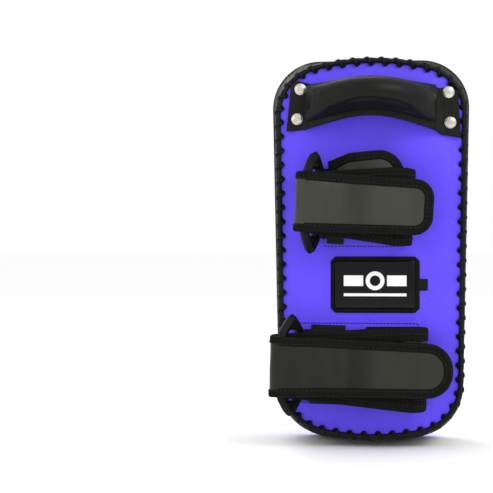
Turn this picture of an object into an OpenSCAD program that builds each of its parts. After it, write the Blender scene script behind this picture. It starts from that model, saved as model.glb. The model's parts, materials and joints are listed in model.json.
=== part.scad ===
// Thai kick pad: a laced leather foam pad with a riveted handle and two forearm straps.
// It stands on its bottom end. Z is up, +Y is the strike face, -Y is the back with the straps.
// The origin is the centre of the footprint, on the surface that the pad stands on.

/* [Pad body] */
// Height of the strike face
pad_h = 396; // [380:1:410]
// Width of the strike face near the top
pad_w = 206; // [200:1:212]
// How much narrower the strike face is near the bottom
pad_taper = 12; // [0:1:16]
// Thickness of the pad without handle and straps
pad_depth = 95; // [85:1:105]
// Radius of the strike face's upper corners
corner_top_r = 50; // [40:1:55]
// Radius of the strike face's lower corners
corner_low_r = 54; // [45:1:58]
// Radius of the rolled edge round the strike face
edge_r = 14; // [10:1:18]
// How far the back is inset from the strike face at the sides
back_inset = 8.5; // [5:0.5:10]
// Thickness of the cover leather
leather_t = 2; // [1.4:0.1:2.4]

/* [Foam] */
// Thickness of the soft foam behind the strike face
face_foam_t = 18; // [12:1:24]
// Thickness of the foam behind the back cover
back_foam_t = 20; // [14:1:24]

/* [Handle] */
// How far the handle stands off the back
handle_reach = 55; // [52:1:60]
// Width across the handle between its end tabs
handle_span = 132; // [124:1:136]
// Height of an end tab
tab_h = 52; // [48:1:54]
// Width of an end tab
tab_w = 19; // [17:1:20]
// Diameter of a rivet cap
rivet_d = 12; // [10:0.5:13]

/* [Straps] */
// Height of a strap's tightening flap at the ring
flap_h = 59; // [54:1:62]
// Thickness of a padded strap
strap_t = 4; // [3:0.5:4.5]
// Thickness of a tongue, the cushion under a strap
tongue_t = 6; // [5:0.5:7]
// Width of the edge binding
binding_w = 9; // [6:0.5:10]
// Height of a strap ring
ring_h = 104; // [100:1:108]
// Distance between a ring's inner and outer bar
ring_span = 34; // [32:1:36]
// Diameter of a ring with its sleeve
ring_d = 9; // [8:0.5:9.5]

/* [Label] */
// Width of the label
label_w = 88; // [70:1:94]
// Height of the label
label_h = 56; // [44:1:60]

/* [Hidden] */
$fn = 48;
eps = 0.01;

// Y of the back cover's outer face. It puts Y = 0 halfway between strike face and handle.
back_y = (handle_reach - pad_depth) / 2;

// An outline is [half width at the top, at the bottom, low end, high end, upper corner radius,
// lower corner radius, curvature of the crowned ends].
flat = 1e-7;  // so little curvature that the end is flat, for the pad to stand on
strike_outline = [pad_w / 2, (pad_w - pad_taper) / 2, 0, pad_h, corner_top_r, corner_low_r, flat];
back_low_inset = back_inset - 2;
back_corner_top_r = 50;
back_corner_low_r = 52;
back_crown_r = 230;
back_outline = [
    pad_w / 2 - back_inset,
    (pad_w - pad_taper) / 2 - back_low_inset,
    back_inset,
    pad_h - back_inset,
    back_corner_top_r,
    back_corner_low_r,
    1 / back_crown_r
];
corner_steps = 8;
end_steps = 8;

// Depths are measured inwards from the back cover's outer face.
swell_depth = 30;  // the bottom end swells to its flat over this
swell_depths = [for (share = [0.2, 0.4, 0.7, 1]) share * swell_depth];
roll_depths = [for (a = [0:15:90]) pad_depth - edge_r * (1 - sin(a))];  // round the rolled edge
seam_depth = pad_depth - 20;  // where strike cover and side gusset are sewn together
foam_gap = 0.3;
foam_clear = 0.6;  // between foam and leather round the sides
foam_front = pad_depth - leather_t - foam_gap;
foam_back = 5;
lacing_w = 3;
lacing_t = 1.5;

// Straps: each list is [upper, lower], and a module's k is one of these two
upper = 0;
lower = 1;
strap_z = [240, 81.3];
strap_lean = [3, 1.5];
ring_inner_x = [-51, -69];
ring_angle = [68, 55];
ring_inner_d = 8.5;
ring_clearance = 0.3;
keeper_t = 2;
keeper_right = [-25, -26];
keeper_tab_t = 3;
keeper_h = 70;
panel_t = 1.5;
panel_x = [[-50, 38], [-74, 50]];
panel_z = [[197.7, 283], [42, 126]];
fold_x = [41, 54];
arm_right_h = [77, 84];
arm_left_h = [64, 68];
flap_right = [59.6, 78.3];
flap_end_r = [18, 25];
flap_right_h = [54, 53];
tongue_right = [33, 36];
tongue_h = [68, 70];
tongue_z = [256, 82];
tongue_tilt = [5, -3];
tongue_left = [-40, -58];
tongue_rise_l = 36;  // a tongue leaves the back over this length
tongue_root_l = 22;
tongue_root_slope = 6;
tongue_end_r = 24;
tongue_skin = 1;
binding_t = 0.8;
hook_patch_h = 34;
loop_patch_h = 44;
patch_w = 32;
patch_t = 1;
body_gap = 0.4;
turn_gap = 1.5;  // between ring sleeve and strap
turn_r = ring_d / 2 + turn_gap + strap_t / 2;
flap_drop_l = 48;  // the flap comes down on to the arm over this length
root_d = panel_t + strap_t / 2;
fold_lap = 1;  // the folded root runs on straight by this before the arm starts
ring_bend_r = 12;
ring_core_d = 5;

// Handle
tab_t = 3;
tab_gap = 0.5;  // between tab and lacing
handle_z = 339;
handle_rise = 8.5;
handle_slope = 2;  // the grip's right end sits lower than its left end by this
grip_share = 0.92;  // the padded grip covers this share of the load strap's arc
grip_h = 38;
grip_pad_t = 24;
handle_arc_steps = 20;
dome_steps = 12;
grip_gap = 0.15;
lip_t = 0.9;
lip = -1;  // the cover's stitched lip reaches to the load strap's lower edge
rivet_gap = 30;
// Each list is [left tab, right tab]: the tabs are riveted on by hand, each a little askew.
tab_x = [-(handle_span + tab_w) / 2 + 3.7, (handle_span + tab_w) / 2 + 1.5];
tab_z = [handle_z + 2.9, handle_z - 1.7];
tab_lean = [6, -3.5];
rivet_post_d = 4;
rivet_cap_t = 2.6;
rivet_brim_t = 0.6;
rivet_room = 0.3;  // around a cap, where the load strap rises beside it
rivet_tail_l = 0.6;
washer_t = 1;

// Label
label_x = 4;
label_z = 162;
label_chamfer = 4.6;
label_face_chamfer = 3;
label_rim = 4;
label_t = 1.4;
tag_w = 8.3;
tag_h = 11.6;
tag_t = 0.8;

// ---------- Outlines ----------

function rounded(v) = round(v * 1000) / 1000;
function circle_point(centre, r, a) =
    [rounded(centre[0] + r * cos(a)), rounded(centre[1] + r * sin(a))];

function arc(centre, r, from, to, steps) =
    [for (i = [0:steps]) circle_point(centre, r, from + (to - from) * i / steps)];

function mix(a, b, t) = a + (b - a) * t;
function reverse(list) = [for (i = [len(list) - 1:-1:0]) list[i]];

// Corner centre and half angle of the crowned end that it runs into
function corner(half, end_z, r, crown, up) =
    let (angle = asin((half - r) / (crown - r)))
    [half - r, end_z - up * (crown - (crown - r) * cos(angle)), angle];

// A rounded outline with crowned ends, counter-clockwise in X and Z, moved in by inset
function outline(o, inset = 0) =
    let (
        crown = 1 / o[6],
        top = corner(o[0], o[3], o[4], crown, 1),
        low = corner(o[1], o[2], o[5], crown, -1),
        dx = top[0] - low[0],
        dz = top[1] - low[1],
        lean = asin((o[5] - o[4]) / norm([dx, dz])) - atan2(dx, dz),
        top_r = o[4] - inset,
        low_r = o[5] - inset,
        end_r = crown - inset
    )
    concat(
        arc([top[0], top[1]], top_r, lean, 90 - top[2], corner_steps),
        [for (i = [1:end_steps - 1])
            circle_point([0, o[3] - crown], end_r, 90 - top[2] + 2 * top[2] * i / end_steps)],
        arc([-top[0], top[1]], top_r, 90 + top[2], 180 - lean, corner_steps),
        arc([-low[0], low[1]], low_r, 180 - lean, 270 - low[2], corner_steps),
        [for (i = [1:end_steps - 1])
            circle_point([0, o[2] + crown], end_r, 270 - low[2] + 2 * low[2] * i / end_steps)],
        arc([low[0], low[1]], low_r, 270 + low[2], 360 + lean, corner_steps)
    );

// The pad's outer wall at a depth in from the back face. Its sides widen evenly up to the seam,
// and its ends flatten early, so that the bottom end has a foot to stand on.
function side_share(depth) = min(depth / seam_depth, 1);
function end_share(depth) = depth >= swell_depth ? 1 : 1 - pow(1 - depth / swell_depth, 2);
function edge_inset(depth) =
    let (past = depth - (pad_depth - edge_r))
    past <= 0 ? 0 : edge_r - sqrt(max(0, edge_r * edge_r - past * past));
function wall(depth, inset = 0) =
    let (side = side_share(depth), end = end_share(depth), shares = [side, side, end, side, side, side, end])
    outline(
        [for (i = [0:6]) mix(back_outline[i], strike_outline[i], shares[i])],
        inset + edge_inset(depth)
    );

// ---------- Solids from outlines ----------

// Joins rings of points with equal counts. Each level is [depth in from the back face, points].
module loft(levels) {
    n = len(levels[0][1]);
    last = len(levels) - 1;
    points = [for (l = levels) for (p = l[1]) [p[0], back_y + l[0], p[1]]];
    sides = [for (k = [0:last - 1]) for (i = [0:n - 1])
        let (a = k * n + i, b = k * n + (i + 1) % n) each [[a, b, b + n], [a, b + n, a + n]]];
    ends = [[for (i = [n - 1:-1:0]) i], [for (i = [0:n - 1]) last * n + i]];
    polyhedron(points, concat(sides, ends), convexity = 6);
}

// A closed band round the pad. Each section point is [depth, inset].
module wall_band(section) {
    rings = [for (s = section) wall(s[0], s[1])];
    n = len(rings[0]);
    m = len(section);
    points = [for (k = [0:m - 1]) for (p = rings[k]) [p[0], back_y + section[k][0], p[1]]];
    faces = [for (k = [0:m - 1]) for (i = [0:n - 1])
        let (a = k * n + i, b = k * n + (i + 1) % n, up = ((k + 1) % m - k) * n)
        each [[a, b, b + up], [a, b + up, a + up]]];
    polyhedron(points, faces, convexity = 6);
}

// The whole pad's block, which a faceted solid is cut to so that its flat faces are single faces
module pad_block()
    translate([-pad_w, back_y, 0])
        cube([2 * pad_w, pad_depth, pad_h]);

// A flat plate in X and Z, from one distance off the back face to another (outward is positive)
module plate(points, from, to)
    translate([0, back_y - from, 0])
        rotate([90, 0, 0])
            linear_extrude(to - from)
                polygon(points);

// ---------- Pad body ----------

module strike_cover() color("#5a3fe0") {
    inner_front = pad_depth - leather_t;
    inner_roll = [for (d = roll_depths) if (d < inner_front - 0.5) d];
    intersection() {
        loft(concat(
            [for (d = concat([inner_front], reverse(inner_roll), [seam_depth])) [d, wall(d, leather_t)]],
            [for (d = concat([seam_depth], roll_depths)) [d, wall(d)]]
        ));
        pad_block();
    }
}

module side_gusset() color("#1a1a1a") {
    depths = concat([leather_t], swell_depths, [seam_depth]);
    last = len(depths) - 1;
    intersection() {
        wall_band(concat(
            [for (i = [0:last]) [depths[i], 0]],
            [for (i = [last:-1:0]) [depths[i], leather_t]]
        ));
        pad_block();
    }
}

module back_cover() color("#5a3fe0")
    difference() {
        plate(wall(0, lacing_w), -leather_t, 0);
        rivet_places() rivet_cylinder(rivet_post_d, -leather_t - 1, 1);
    }

module edge_lacing() color("#141414")
    difference() {
        plate(wall(0), -leather_t, lacing_t);
        plate(wall(0, lacing_w), -leather_t - 1, lacing_t + 1);
    }

// A foam slab between two depths, kept clear of the covers
module foam(from, to) {
    middle = [for (d = concat(swell_depths, roll_depths)) if (d > from && d < to) d];
    loft([for (d = concat([from], middle, [to])) [d, wall(d, leather_t + foam_clear)]]);
}

module face_foam() color("#e8e4d8") foam(foam_front - face_foam_t, foam_front);
module core_foam() color("#c9c4b4") foam(foam_back + back_foam_t, foam_front - face_foam_t);
module back_foam() color("#e8e4d8") foam(foam_back, foam_back + back_foam_t);

// ---------- Handle ----------

// The grip's load strap is an arc across X that stands off the back.
handle_strap_reach = handle_reach - grip_pad_t - leather_t - tab_t / 2;
handle_foot_d = tab_t / 2;
handle_sagitta = handle_strap_reach - handle_foot_d;
handle_arc_r = (pow(handle_span / 2, 2) + pow(handle_sagitta, 2)) / (2 * handle_sagitta);
handle_arc_a = asin(handle_span / 2 / handle_arc_r);

function handle_angle(i) = mix(-handle_arc_a, handle_arc_a, i / handle_arc_steps);
function handle_x(a) = handle_arc_r * sin(a);
function handle_d(a) = handle_strap_reach - handle_arc_r * (1 - cos(a));
function handle_mid_z(a) =
    handle_z + handle_rise * pow(cos(90 * a / handle_arc_a), 2) - handle_slope * (a / handle_arc_a + 1) / 2;
function handle_half_h(a) = mix(tab_h / 2 - 3, grip_h / 2, pow(cos(90 * a / handle_arc_a), 0.5));

// Sweeps a section along the handle's arc. The section lies between two lists of equal length,
// whose points are [share of the half height, distance off the load strap at full swell].
module handle_sweep(outer, inner) {
    m = len(outer);
    section = concat(outer, [for (i = [m - 1:-1:0]) inner[i]]);
    n = 2 * m;
    points = [for (i = [0:handle_arc_steps])
        let (
            a = grip_share * handle_angle(i),
            swell = max(0.12, pow(cos(90 * handle_angle(i) / handle_arc_a), 0.6))
        )
            for (s = section)
                let (out = tab_t / 2 + grip_gap + s[1] * swell)
                [
                    handle_x(a) + out * sin(a),
                    back_y - handle_d(a) - out * cos(a),
                    handle_mid_z(a) + s[0] * handle_half_h(a)
                ]];
    sides = [for (k = [0:handle_arc_steps - 1]) for (i = [0:n - 1])
        let (a = k * n + i, b = k * n + (i + 1) % n) each [[a, b + n, b], [a, a + n, b + n]]];
    ends = [for (i = [0:m - 2])
        let (a = i, b = i + 1, c = n - 2 - i, d = n - 1 - i, up = handle_arc_steps * n)
            each [[a, b, c], [a, c, d], [c + up, b + up, a + up], [d + up, c + up, a + up]]];
    polyhedron(points, concat(sides, ends), convexity = 6);
}

// Half an ellipse over the load strap
function dome(half, rise, base) =
    [for (i = [0:dome_steps]) let (a = 180 * i / dome_steps) [half * cos(a), base + rise * sin(a)]];

module handle_strap() color("#202020")
    difference() {
        union() {
            intersection() {
                translate([0, back_y, handle_z - tab_h])
                    mirror([0, 1, 0])
                        linear_extrude(2 * tab_h)
                            polygon(ribbon(
                                [for (i = [0:handle_arc_steps])
                                    let (a = handle_angle(i)) [handle_x(a), handle_d(a)]],
                                -tab_t / 2,
                                tab_t / 2
                            ));
                plate(handle_face(), tab_t, handle_reach);
            }
            intersection() {
                for (n = [0, 1]) at_tab(n) plate(tab_face(1 - 2 * n), 0, tab_t);
                plate(wall(0, lacing_w + tab_gap), 0, tab_t);
            }
        }
        rivet_places() {
            rivet_cylinder(rivet_post_d, -1, tab_t + 1);
            rivet_cylinder(rivet_d + 2 * rivet_room, tab_t, tab_t + rivet_cap_t + 1);
        }
    }

// The load strap's arched face, as seen from the back
function handle_face() = concat(
    [for (i = [0:handle_arc_steps])
        let (a = handle_angle(i)) [handle_x(a) * 1.03, handle_mid_z(a) - handle_half_h(a)]],
    [for (i = [handle_arc_steps:-1:0])
        let (a = handle_angle(i)) [handle_x(a) * 1.03, handle_mid_z(a) + handle_half_h(a)]]
);

// A tab's own frame, halfway between its rivets
module at_tab(n)
    translate([tab_x[n], 0, tab_z[n]])
        rotate([0, tab_lean[n], 0])
            children();

// A tab runs on under the grip, which lies to the right of the left tab.
function tab_face(side) =
    let (near = side * (tab_w / 2 + 4), far = -side * tab_w / 2)
    [
        [near, 0.5 - tab_h / 2],
        [far, -2.5 - tab_h / 2],
        [far, tab_h / 2 - 2.5],
        [near, tab_h / 2 - 3.5]
    ];

module handle_padding() color("#d8d2c2")
    handle_sweep(dome(0.77, grip_pad_t - 2, 0.4), dome(0.77, 0, 0));

module handle_cover() color("#1c1c1c")
    handle_sweep(
        concat(dome(0.86, grip_pad_t + leather_t - 1.2, lip_t), [[lip, lip_t]]),
        concat(dome(0.8, grip_pad_t - 1, 0.2), [[lip, 0.2]])
    );

module rivet_places()
    for (n = [0, 1], z = [-rivet_gap / 2, rivet_gap / 2])
        at_tab(n) translate([0, 0, z]) children();

// A cylinder that runs outward from the back face
module rivet_cylinder(d, from, to)
    translate([0, back_y - from, 0])
        rotate([90, 0, 0])
            cylinder(d = d, h = to - from);

module handle_rivets() color("#c9c4bb")
    rivet_places() {
        translate([0, back_y - tab_t, 0])
            rotate([90, 0, 0])
                rotate_extrude()
                    polygon(concat(
                        [[0, 0], [rivet_d / 2, 0]],
                        [for (a = [0:15:90])
                            [rivet_d / 2 * cos(a), mix(rivet_brim_t, rivet_cap_t, sin(a))]]
                    ));
        rivet_cylinder(rivet_post_d, -leather_t - washer_t - rivet_tail_l, tab_t + eps);
    }

module rivet_washers() color("#b9b4ab")
    rivet_places()
        difference() {
            rivet_cylinder(rivet_d, -leather_t - washer_t, -leather_t);
            rivet_cylinder(rivet_post_d, -leather_t - washer_t - 1, -leather_t + 1);
        }

// ---------- Label ----------

// A face between two places in X, with a height at each
function quad(x0, x1, h0, h1) = [[x0, -h0 / 2], [x1, -h1 / 2], [x1, h1 / 2], [x0, h0 / 2]];

function chamfered(w, h, c) = [
    [w / 2, -h / 2 + c],
    [w / 2, h / 2 - c],
    [w / 2 - c, h / 2],
    [-w / 2 + c, h / 2],
    [-w / 2, h / 2 - c],
    [-w / 2, -h / 2 + c],
    [-w / 2 + c, -h / 2],
    [w / 2 - c, -h / 2]
];

module label_backing() color("#181818")
    translate([label_x, 0, label_z])
        plate(chamfered(label_w, label_h, label_chamfer), 0, label_t);

module label_face() color("#0c0c0c")
    translate([label_x, 0, label_z])
        plate(
            chamfered(label_w - 2 * label_rim, label_h - 2 * label_rim, label_face_chamfer),
            label_t,
            2 * label_t
        );

module size_tag() color("#101010")
    translate([label_x + label_w / 2, 0, label_z])
        plate(quad(0, tag_w, tag_h, tag_h), 0, tag_t);

// ---------- Straps ----------

function unit(v) = v / norm(v);
function path_normal(path, i) =
    let (v = unit(path[min(i + 1, len(path) - 1)] - path[max(i - 1, 0)])) [-v[1], v[0]];

// A strip of material along a path in X and distance from the back face
function ribbon(path, from, to) = concat(
    [for (i = [0:len(path) - 1]) path[i] + from * path_normal(path, i)],
    [for (i = [len(path) - 1:-1:0]) path[i] + to * path_normal(path, i)]
);

// A smooth rise from one point to another
function ease(a, b, steps) = [for (i = [0:steps])
    [mix(a[0], b[0], i / steps), mix(a[1], b[1], (1 - cos(180 * i / steps)) / 2)]];

// The strap's own frame: turned in the plane of the back, so that its ring leans
module at_strap(k)
    translate([0, back_y, strap_z[k]])
        rotate([0, strap_lean[k], 0])
            children();

// A strip from its profile in X and distance from the back, cut to a face in X and height
module strip(profile, face)
    intersection() {
        translate([0, 0, -ring_h])
            mirror([0, 1, 0])
                linear_extrude(2 * ring_h)
                    polygon(profile);
        translate([0, eps, 0])
            rotate([90, 0, 0])
                linear_extrude(2 * handle_reach)
                    polygon(face);
    }

// Edge binding: a skin over both sides and the rim of a strip
module bound_edge(path, thickness, face, inner_face, body_face)
    difference() {
        difference() {
            strip(ribbon(path, -thickness / 2 - binding_t, thickness / 2 + binding_t), face);
            strip(ribbon(path, -thickness / 2, thickness / 2), body_face);
        }
        strip(ribbon(path, -thickness, thickness), inner_face);
    }

function outer_bar(k) =
    [ring_inner_x[k] - ring_span * cos(ring_angle[k]), ring_inner_d + ring_span * sin(ring_angle[k])];
function arm_d(k) = outer_bar(k)[1] - turn_r;
function fold_r(k) = (arm_d(k) - root_d) / 2;
function fold_centre(k) = [fold_x[k] - strap_t / 2 - fold_r(k), (arm_d(k) + root_d) / 2];
function patch_x(k) = [fold_centre(k)[0] - 2 - patch_w, fold_centre(k)[0] - 2];

module panel(k) color("#5236d2")
    plate([
        [panel_x[k][0], panel_z[k][0]],
        [panel_x[k][1], panel_z[k][0]],
        [panel_x[k][1], panel_z[k][1]],
        [panel_x[k][0], panel_z[k][1]]
    ], 0, panel_t);

// The leather loop that holds the ring's inner bar
module keeper(k) color("#181818")
    at_strap(k)
        translate([0, 0, -keeper_h / 2])
            mirror([0, 1, 0])
                linear_extrude(keeper_h)
                    difference() {
                        union() {
                            translate([ring_inner_x[k], ring_inner_d])
                                circle(r = ring_d / 2 + ring_clearance + keeper_t);
                            translate([ring_inner_x[k], panel_t])
                                square([keeper_right[k] - ring_inner_x[k], keeper_tab_t]);
                        }
                        translate([ring_inner_x[k], ring_inner_d])
                            circle(r = ring_d / 2 + ring_clearance);
                    }

module strap_root(k) color("#181818")
    at_strap(k) {
        path = concat(
            [[-6, root_d]],
            arc(fold_centre(k), fold_r(k), -90, 90, 16),
            [fold_centre(k) + [-fold_lap, fold_r(k)]]
        );
        face = quad(-20, fold_x[k] + 5, arm_right_h[k], arm_right_h[k]);
        strip(ribbon(path, -strap_t / 2, strap_t / 2), face);
    }

module strap_arm(k) color("#202020")
    at_strap(k) {
        right = fold_centre(k)[0] - fold_lap;
        left = outer_bar(k)[0] + body_gap;
        strip(
            ribbon([[left, arm_d(k)], [right, arm_d(k)]], -strap_t / 2, strap_t / 2),
            quad(left, right, arm_left_h[k], arm_right_h[k])
        );
    }

module loop_patch(k) color("#0e0e0e")
    at_strap(k)
        strip(
            ribbon([for (x = patch_x(k)) [x, arm_d(k)]], strap_t / 2, strap_t / 2 + patch_t),
            quad(patch_x(k)[0], patch_x(k)[1], loop_patch_h, loop_patch_h)
        );

// A ring: four straight bars and four quarter bends, in the plane through both bars
module ring_tube(k, d) {
    w = ring_span / 2;
    h = (ring_h - ring_d) / 2;
    r = ring_bend_r;
    at_strap(k)
        translate([ring_inner_x[k], -ring_inner_d, 0])
            rotate([0, 0, ring_angle[k] - 180])
                translate([w, 0, 0])
                    mirror([0, 1, 0])
                        rotate([90, 0, 0]) {
                            for (x = [-w, w])
                                translate([x, -h + r, 0])
                                    rotate([-90, 0, 0])
                                        cylinder(d = d, h = 2 * (h - r));
                            for (y = [-h, h])
                                translate([-w + r, y, 0])
                                    rotate([0, 90, 0])
                                        cylinder(d = d, h = 2 * (w - r));
                            for (q = [0:3])
                                translate([q == 0 || q == 3 ? w - r : r - w, q < 2 ? h - r : r - h, 0])
                                    rotate([0, 0, 90 * q])
                                        rotate_extrude(angle = 90)
                                            translate([r, 0])
                                                circle(d = d);
                        }
}

module ring_core(k) color("#9a9a9a") ring_tube(k, ring_core_d);

module ring_sleeve(k) color("#161616")
    difference() {
        ring_tube(k, ring_d);
        ring_tube(k, ring_core_d);
    }

module strap_turn(k) color("#181818")
    at_strap(k) {
        right = outer_bar(k)[0];
        h = arm_left_h[k] - 5;
        strip(
            ribbon(arc(outer_bar(k), turn_r, 270, 90, 16), -strap_t / 2, strap_t / 2),
            quad(right - turn_r - strap_t, right, h, h)
        );
    }

// The flap runs off the ring and down on to the arm
function flap_d(k) = arm_d(k) + strap_t + 2 * patch_t + body_gap;
function flap_path(k) =
    let (start = outer_bar(k) + [body_gap, turn_r])
    concat(ease(start, [start[0] + flap_drop_l, flap_d(k)], 8), [[flap_right[k] + 5, flap_d(k)]]);

function flap_face(k, inset) =
    let (
        left = outer_bar(k)[0] + body_gap + inset,
        right = flap_right[k] - inset,
        half = flap_h / 2 - inset,
        end_half = flap_right_h[k] / 2 - inset,
        r = min(flap_end_r[k] - inset, end_half)
    )
    concat(
        [[left, -half]],
        arc([right - r, -end_half + r], r, -90, 0, 8),
        arc([right - r, end_half - r], r, 0, 90, 8),
        [[left, half]]
    );

// Binding on the flap leaves its ring end open, because the strap runs on there
function run_on(from, to, by) = to + (to - from) * by / abs(to[0] - from[0]);
function open_left(face, by) =
    let (last = len(face) - 1)
    concat(
        [run_on(face[1], face[0], by)],
        [for (i = [1:last - 1]) face[i]],
        [run_on(face[last - 1], face[last], by)]
    );

module flap(k) color("#2c2c2a")
    at_strap(k)
        strip(
            ribbon(flap_path(k), -strap_t / 2, strap_t / 2),
            open_left(flap_face(k, binding_t), binding_t)
        );

module flap_binding(k) color("#121212")
    at_strap(k)
        bound_edge(
            flap_path(k),
            strap_t,
            flap_face(k, 0),
            open_left(flap_face(k, binding_w), binding_w + 3),
            open_left(flap_face(k, binding_t), binding_t + 1)
        );

module hook_patch(k) color("#0e0e0e")
    at_strap(k)
        strip(
            ribbon([for (x = patch_x(k)) [x, flap_d(k)]], -strap_t / 2 - patch_t, -strap_t / 2),
            quad(patch_x(k)[0], patch_x(k)[1], hook_patch_h, hook_patch_h)
        );

// ---------- Tongues ----------

function tongue_d(k) = fold_centre(k)[1] + 3.2;
tongue_low_d = panel_t + keeper_tab_t + ring_clearance + binding_t + tongue_t / 2;
function tongue_path(k) = concat(
    ease([0, tongue_low_d], [tongue_rise_l, tongue_d(k)], 8),
    [[tongue_right[k] - tongue_left[k] + 5, tongue_d(k)]]
);
function tongue_face(k, inset) =
    let (
        right = tongue_right[k] - tongue_left[k] - inset,
        half = tongue_h[k] / 2 - inset,
        r = tongue_end_r - inset
    )
    concat(
        [[inset, -half + tongue_root_slope], [tongue_root_l, -half]],
        arc([right - r, -half + r], r, -90, 0, 8),
        arc([right - r, half - r], r, 0, 90, 8),
        [[tongue_root_l, half], [inset, half - tongue_root_slope]]
    );

module at_tongue(k)
    translate([tongue_left[k], back_y, tongue_z[k]])
        rotate([0, -tongue_tilt[k], 0])
            children();

module tongue_foam(k) color("#d8d2c2")
    at_tongue(k)
        strip(
            ribbon(tongue_path(k), -tongue_t / 2 + tongue_skin, tongue_t / 2 - tongue_skin),
            tongue_face(k, 3)
        );

module tongue_cover(k) color("#262624")
    at_tongue(k)
        difference() {
            strip(ribbon(tongue_path(k), -tongue_t / 2, tongue_t / 2), tongue_face(k, binding_t));
            strip(
                ribbon(tongue_path(k), -tongue_t / 2 + tongue_skin, tongue_t / 2 - tongue_skin),
                tongue_face(k, 3)
            );
        }

module tongue_binding(k) color("#121212")
    at_tongue(k)
        bound_edge(
            tongue_path(k),
            tongue_t,
            tongue_face(k, 0),
            tongue_face(k, binding_w),
            tongue_face(k, binding_t)
        );

strike_cover();
side_gusset();
back_cover();
edge_lacing();
face_foam();
core_foam();
back_foam();
handle_strap();
handle_padding();
handle_cover();
handle_rivets();
rivet_washers();
label_backing();
label_face();
size_tag();
panel(upper);  // upper_panel
keeper(upper);  // upper_keeper
strap_root(upper);  // upper_strap_root
strap_arm(upper);  // upper_strap_arm
loop_patch(upper);  // upper_loop_patch
ring_core(upper);  // upper_ring_core
ring_sleeve(upper);  // upper_ring_sleeve
strap_turn(upper);  // upper_strap_turn
flap(upper);  // upper_flap
flap_binding(upper);  // upper_flap_binding
hook_patch(upper);  // upper_hook_patch
tongue_cover(upper);  // upper_tongue_cover
tongue_foam(upper);  // upper_tongue_foam
tongue_binding(upper);  // upper_tongue_binding
panel(lower);  // lower_panel
keeper(lower);  // lower_keeper
strap_root(lower);  // lower_strap_root
strap_arm(lower);  // lower_strap_arm
loop_patch(lower);  // lower_loop_patch
ring_core(lower);  // lower_ring_core
ring_sleeve(lower);  // lower_ring_sleeve
strap_turn(lower);  // lower_strap_turn
flap(lower);  // lower_flap
flap_binding(lower);  // lower_flap_binding
hook_patch(lower);  // lower_hook_patch
tongue_cover(lower);  // lower_tongue_cover
tongue_foam(lower);  // lower_tongue_foam
tongue_binding(lower);  // lower_tongue_binding
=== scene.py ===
"""Looks of a thai pad: laced leather body, riveted padded handle, ringed straps and a label.

Shapes are worked out in millimetres and turned into metres when a piece is made.
"""

import json
import math

import bpy
import bmesh
import numpy as np
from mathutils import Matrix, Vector


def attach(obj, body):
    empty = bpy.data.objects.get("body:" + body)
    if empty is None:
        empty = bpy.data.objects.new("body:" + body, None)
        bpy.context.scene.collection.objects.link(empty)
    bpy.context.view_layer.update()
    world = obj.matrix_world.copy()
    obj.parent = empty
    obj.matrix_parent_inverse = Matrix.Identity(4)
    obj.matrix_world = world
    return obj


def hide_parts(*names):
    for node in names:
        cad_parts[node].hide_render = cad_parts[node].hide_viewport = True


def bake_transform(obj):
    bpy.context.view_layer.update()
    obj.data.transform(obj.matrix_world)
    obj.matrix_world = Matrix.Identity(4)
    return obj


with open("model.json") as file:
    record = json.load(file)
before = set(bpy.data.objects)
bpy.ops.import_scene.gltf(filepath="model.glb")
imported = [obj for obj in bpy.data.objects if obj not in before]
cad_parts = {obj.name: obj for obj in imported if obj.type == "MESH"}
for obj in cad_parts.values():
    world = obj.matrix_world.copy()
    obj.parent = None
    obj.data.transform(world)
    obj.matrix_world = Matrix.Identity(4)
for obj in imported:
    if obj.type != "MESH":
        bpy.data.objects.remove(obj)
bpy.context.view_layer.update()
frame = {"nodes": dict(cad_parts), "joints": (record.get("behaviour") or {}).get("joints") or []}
MM = 0.001
JOINTS = {joint["name"]: joint for joint in frame["joints"]}


# ---------- Numbers and meshes ----------

def node_points(node):
    """The corners of a CAD node, in millimetres."""
    return np.array([v.co for v in frame["nodes"][node].data.vertices]) / MM


def limits(points):
    """The lowest and highest corner of the box round some points."""
    return points.min(0), points.max(0)


def mix(a, b, t):
    return a + (b - a) * t


def smooth(t):
    """A smooth step from 0 to 1."""
    t = np.clip(t, 0, 1)
    return t * t * (3 - 2 * t)


def ripple(points, size, seed):
    """Smooth irregular waves of about this size over points, roughly between -1 and 1."""
    random = np.random.default_rng(seed)
    count = 7
    ways = random.normal(size=(count, points.shape[-1]))
    ways /= np.linalg.norm(ways, axis=1)[:, None]
    lengths = size * random.uniform(0.7, 1.6, count)
    phases = random.uniform(0, 2 * math.pi, count)
    return np.sin(points @ (ways / lengths[:, None] * 2 * math.pi).T + phases).sum(-1) / math.sqrt(count)


def unit(v):
    return v / np.linalg.norm(v, axis=-1, keepdims=True)


def grid_faces(rows, columns, wrap_rows=False, wrap_columns=False, start=0):
    """Quads over a grid of points that is stored row by row."""
    faces = []
    for i in range(rows if wrap_rows else rows - 1):
        for j in range(columns if wrap_columns else columns - 1):
            a, b = i * columns + j, i * columns + (j + 1) % columns
            up = ((i + 1) % rows) * columns - i * columns
            faces.append([start + a, start + b, start + b + up, start + a + up])
    return faces


def loft(points, wrap_rows=False):
    """Points and faces of a grid whose rows are closed loops, open at both ends or closed into a ring."""
    points = np.asarray(points, float)
    return points.reshape(-1, 3), grid_faces(*points.shape[:2], wrap_rows, True)


def tube(points, closed=False):
    """A loft whose ends are capped, unless it is closed into a ring."""
    rows, columns = points.shape[:2]
    points, faces = loft(points, closed)
    if not closed:
        faces += [list(range(columns))[::-1], [(rows - 1) * columns + j for j in range(columns)]]
    return points, faces


def add_object(name, data):
    made = bpy.data.objects.new(name, data)
    bpy.context.scene.collection.objects.link(made)
    return made


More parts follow.
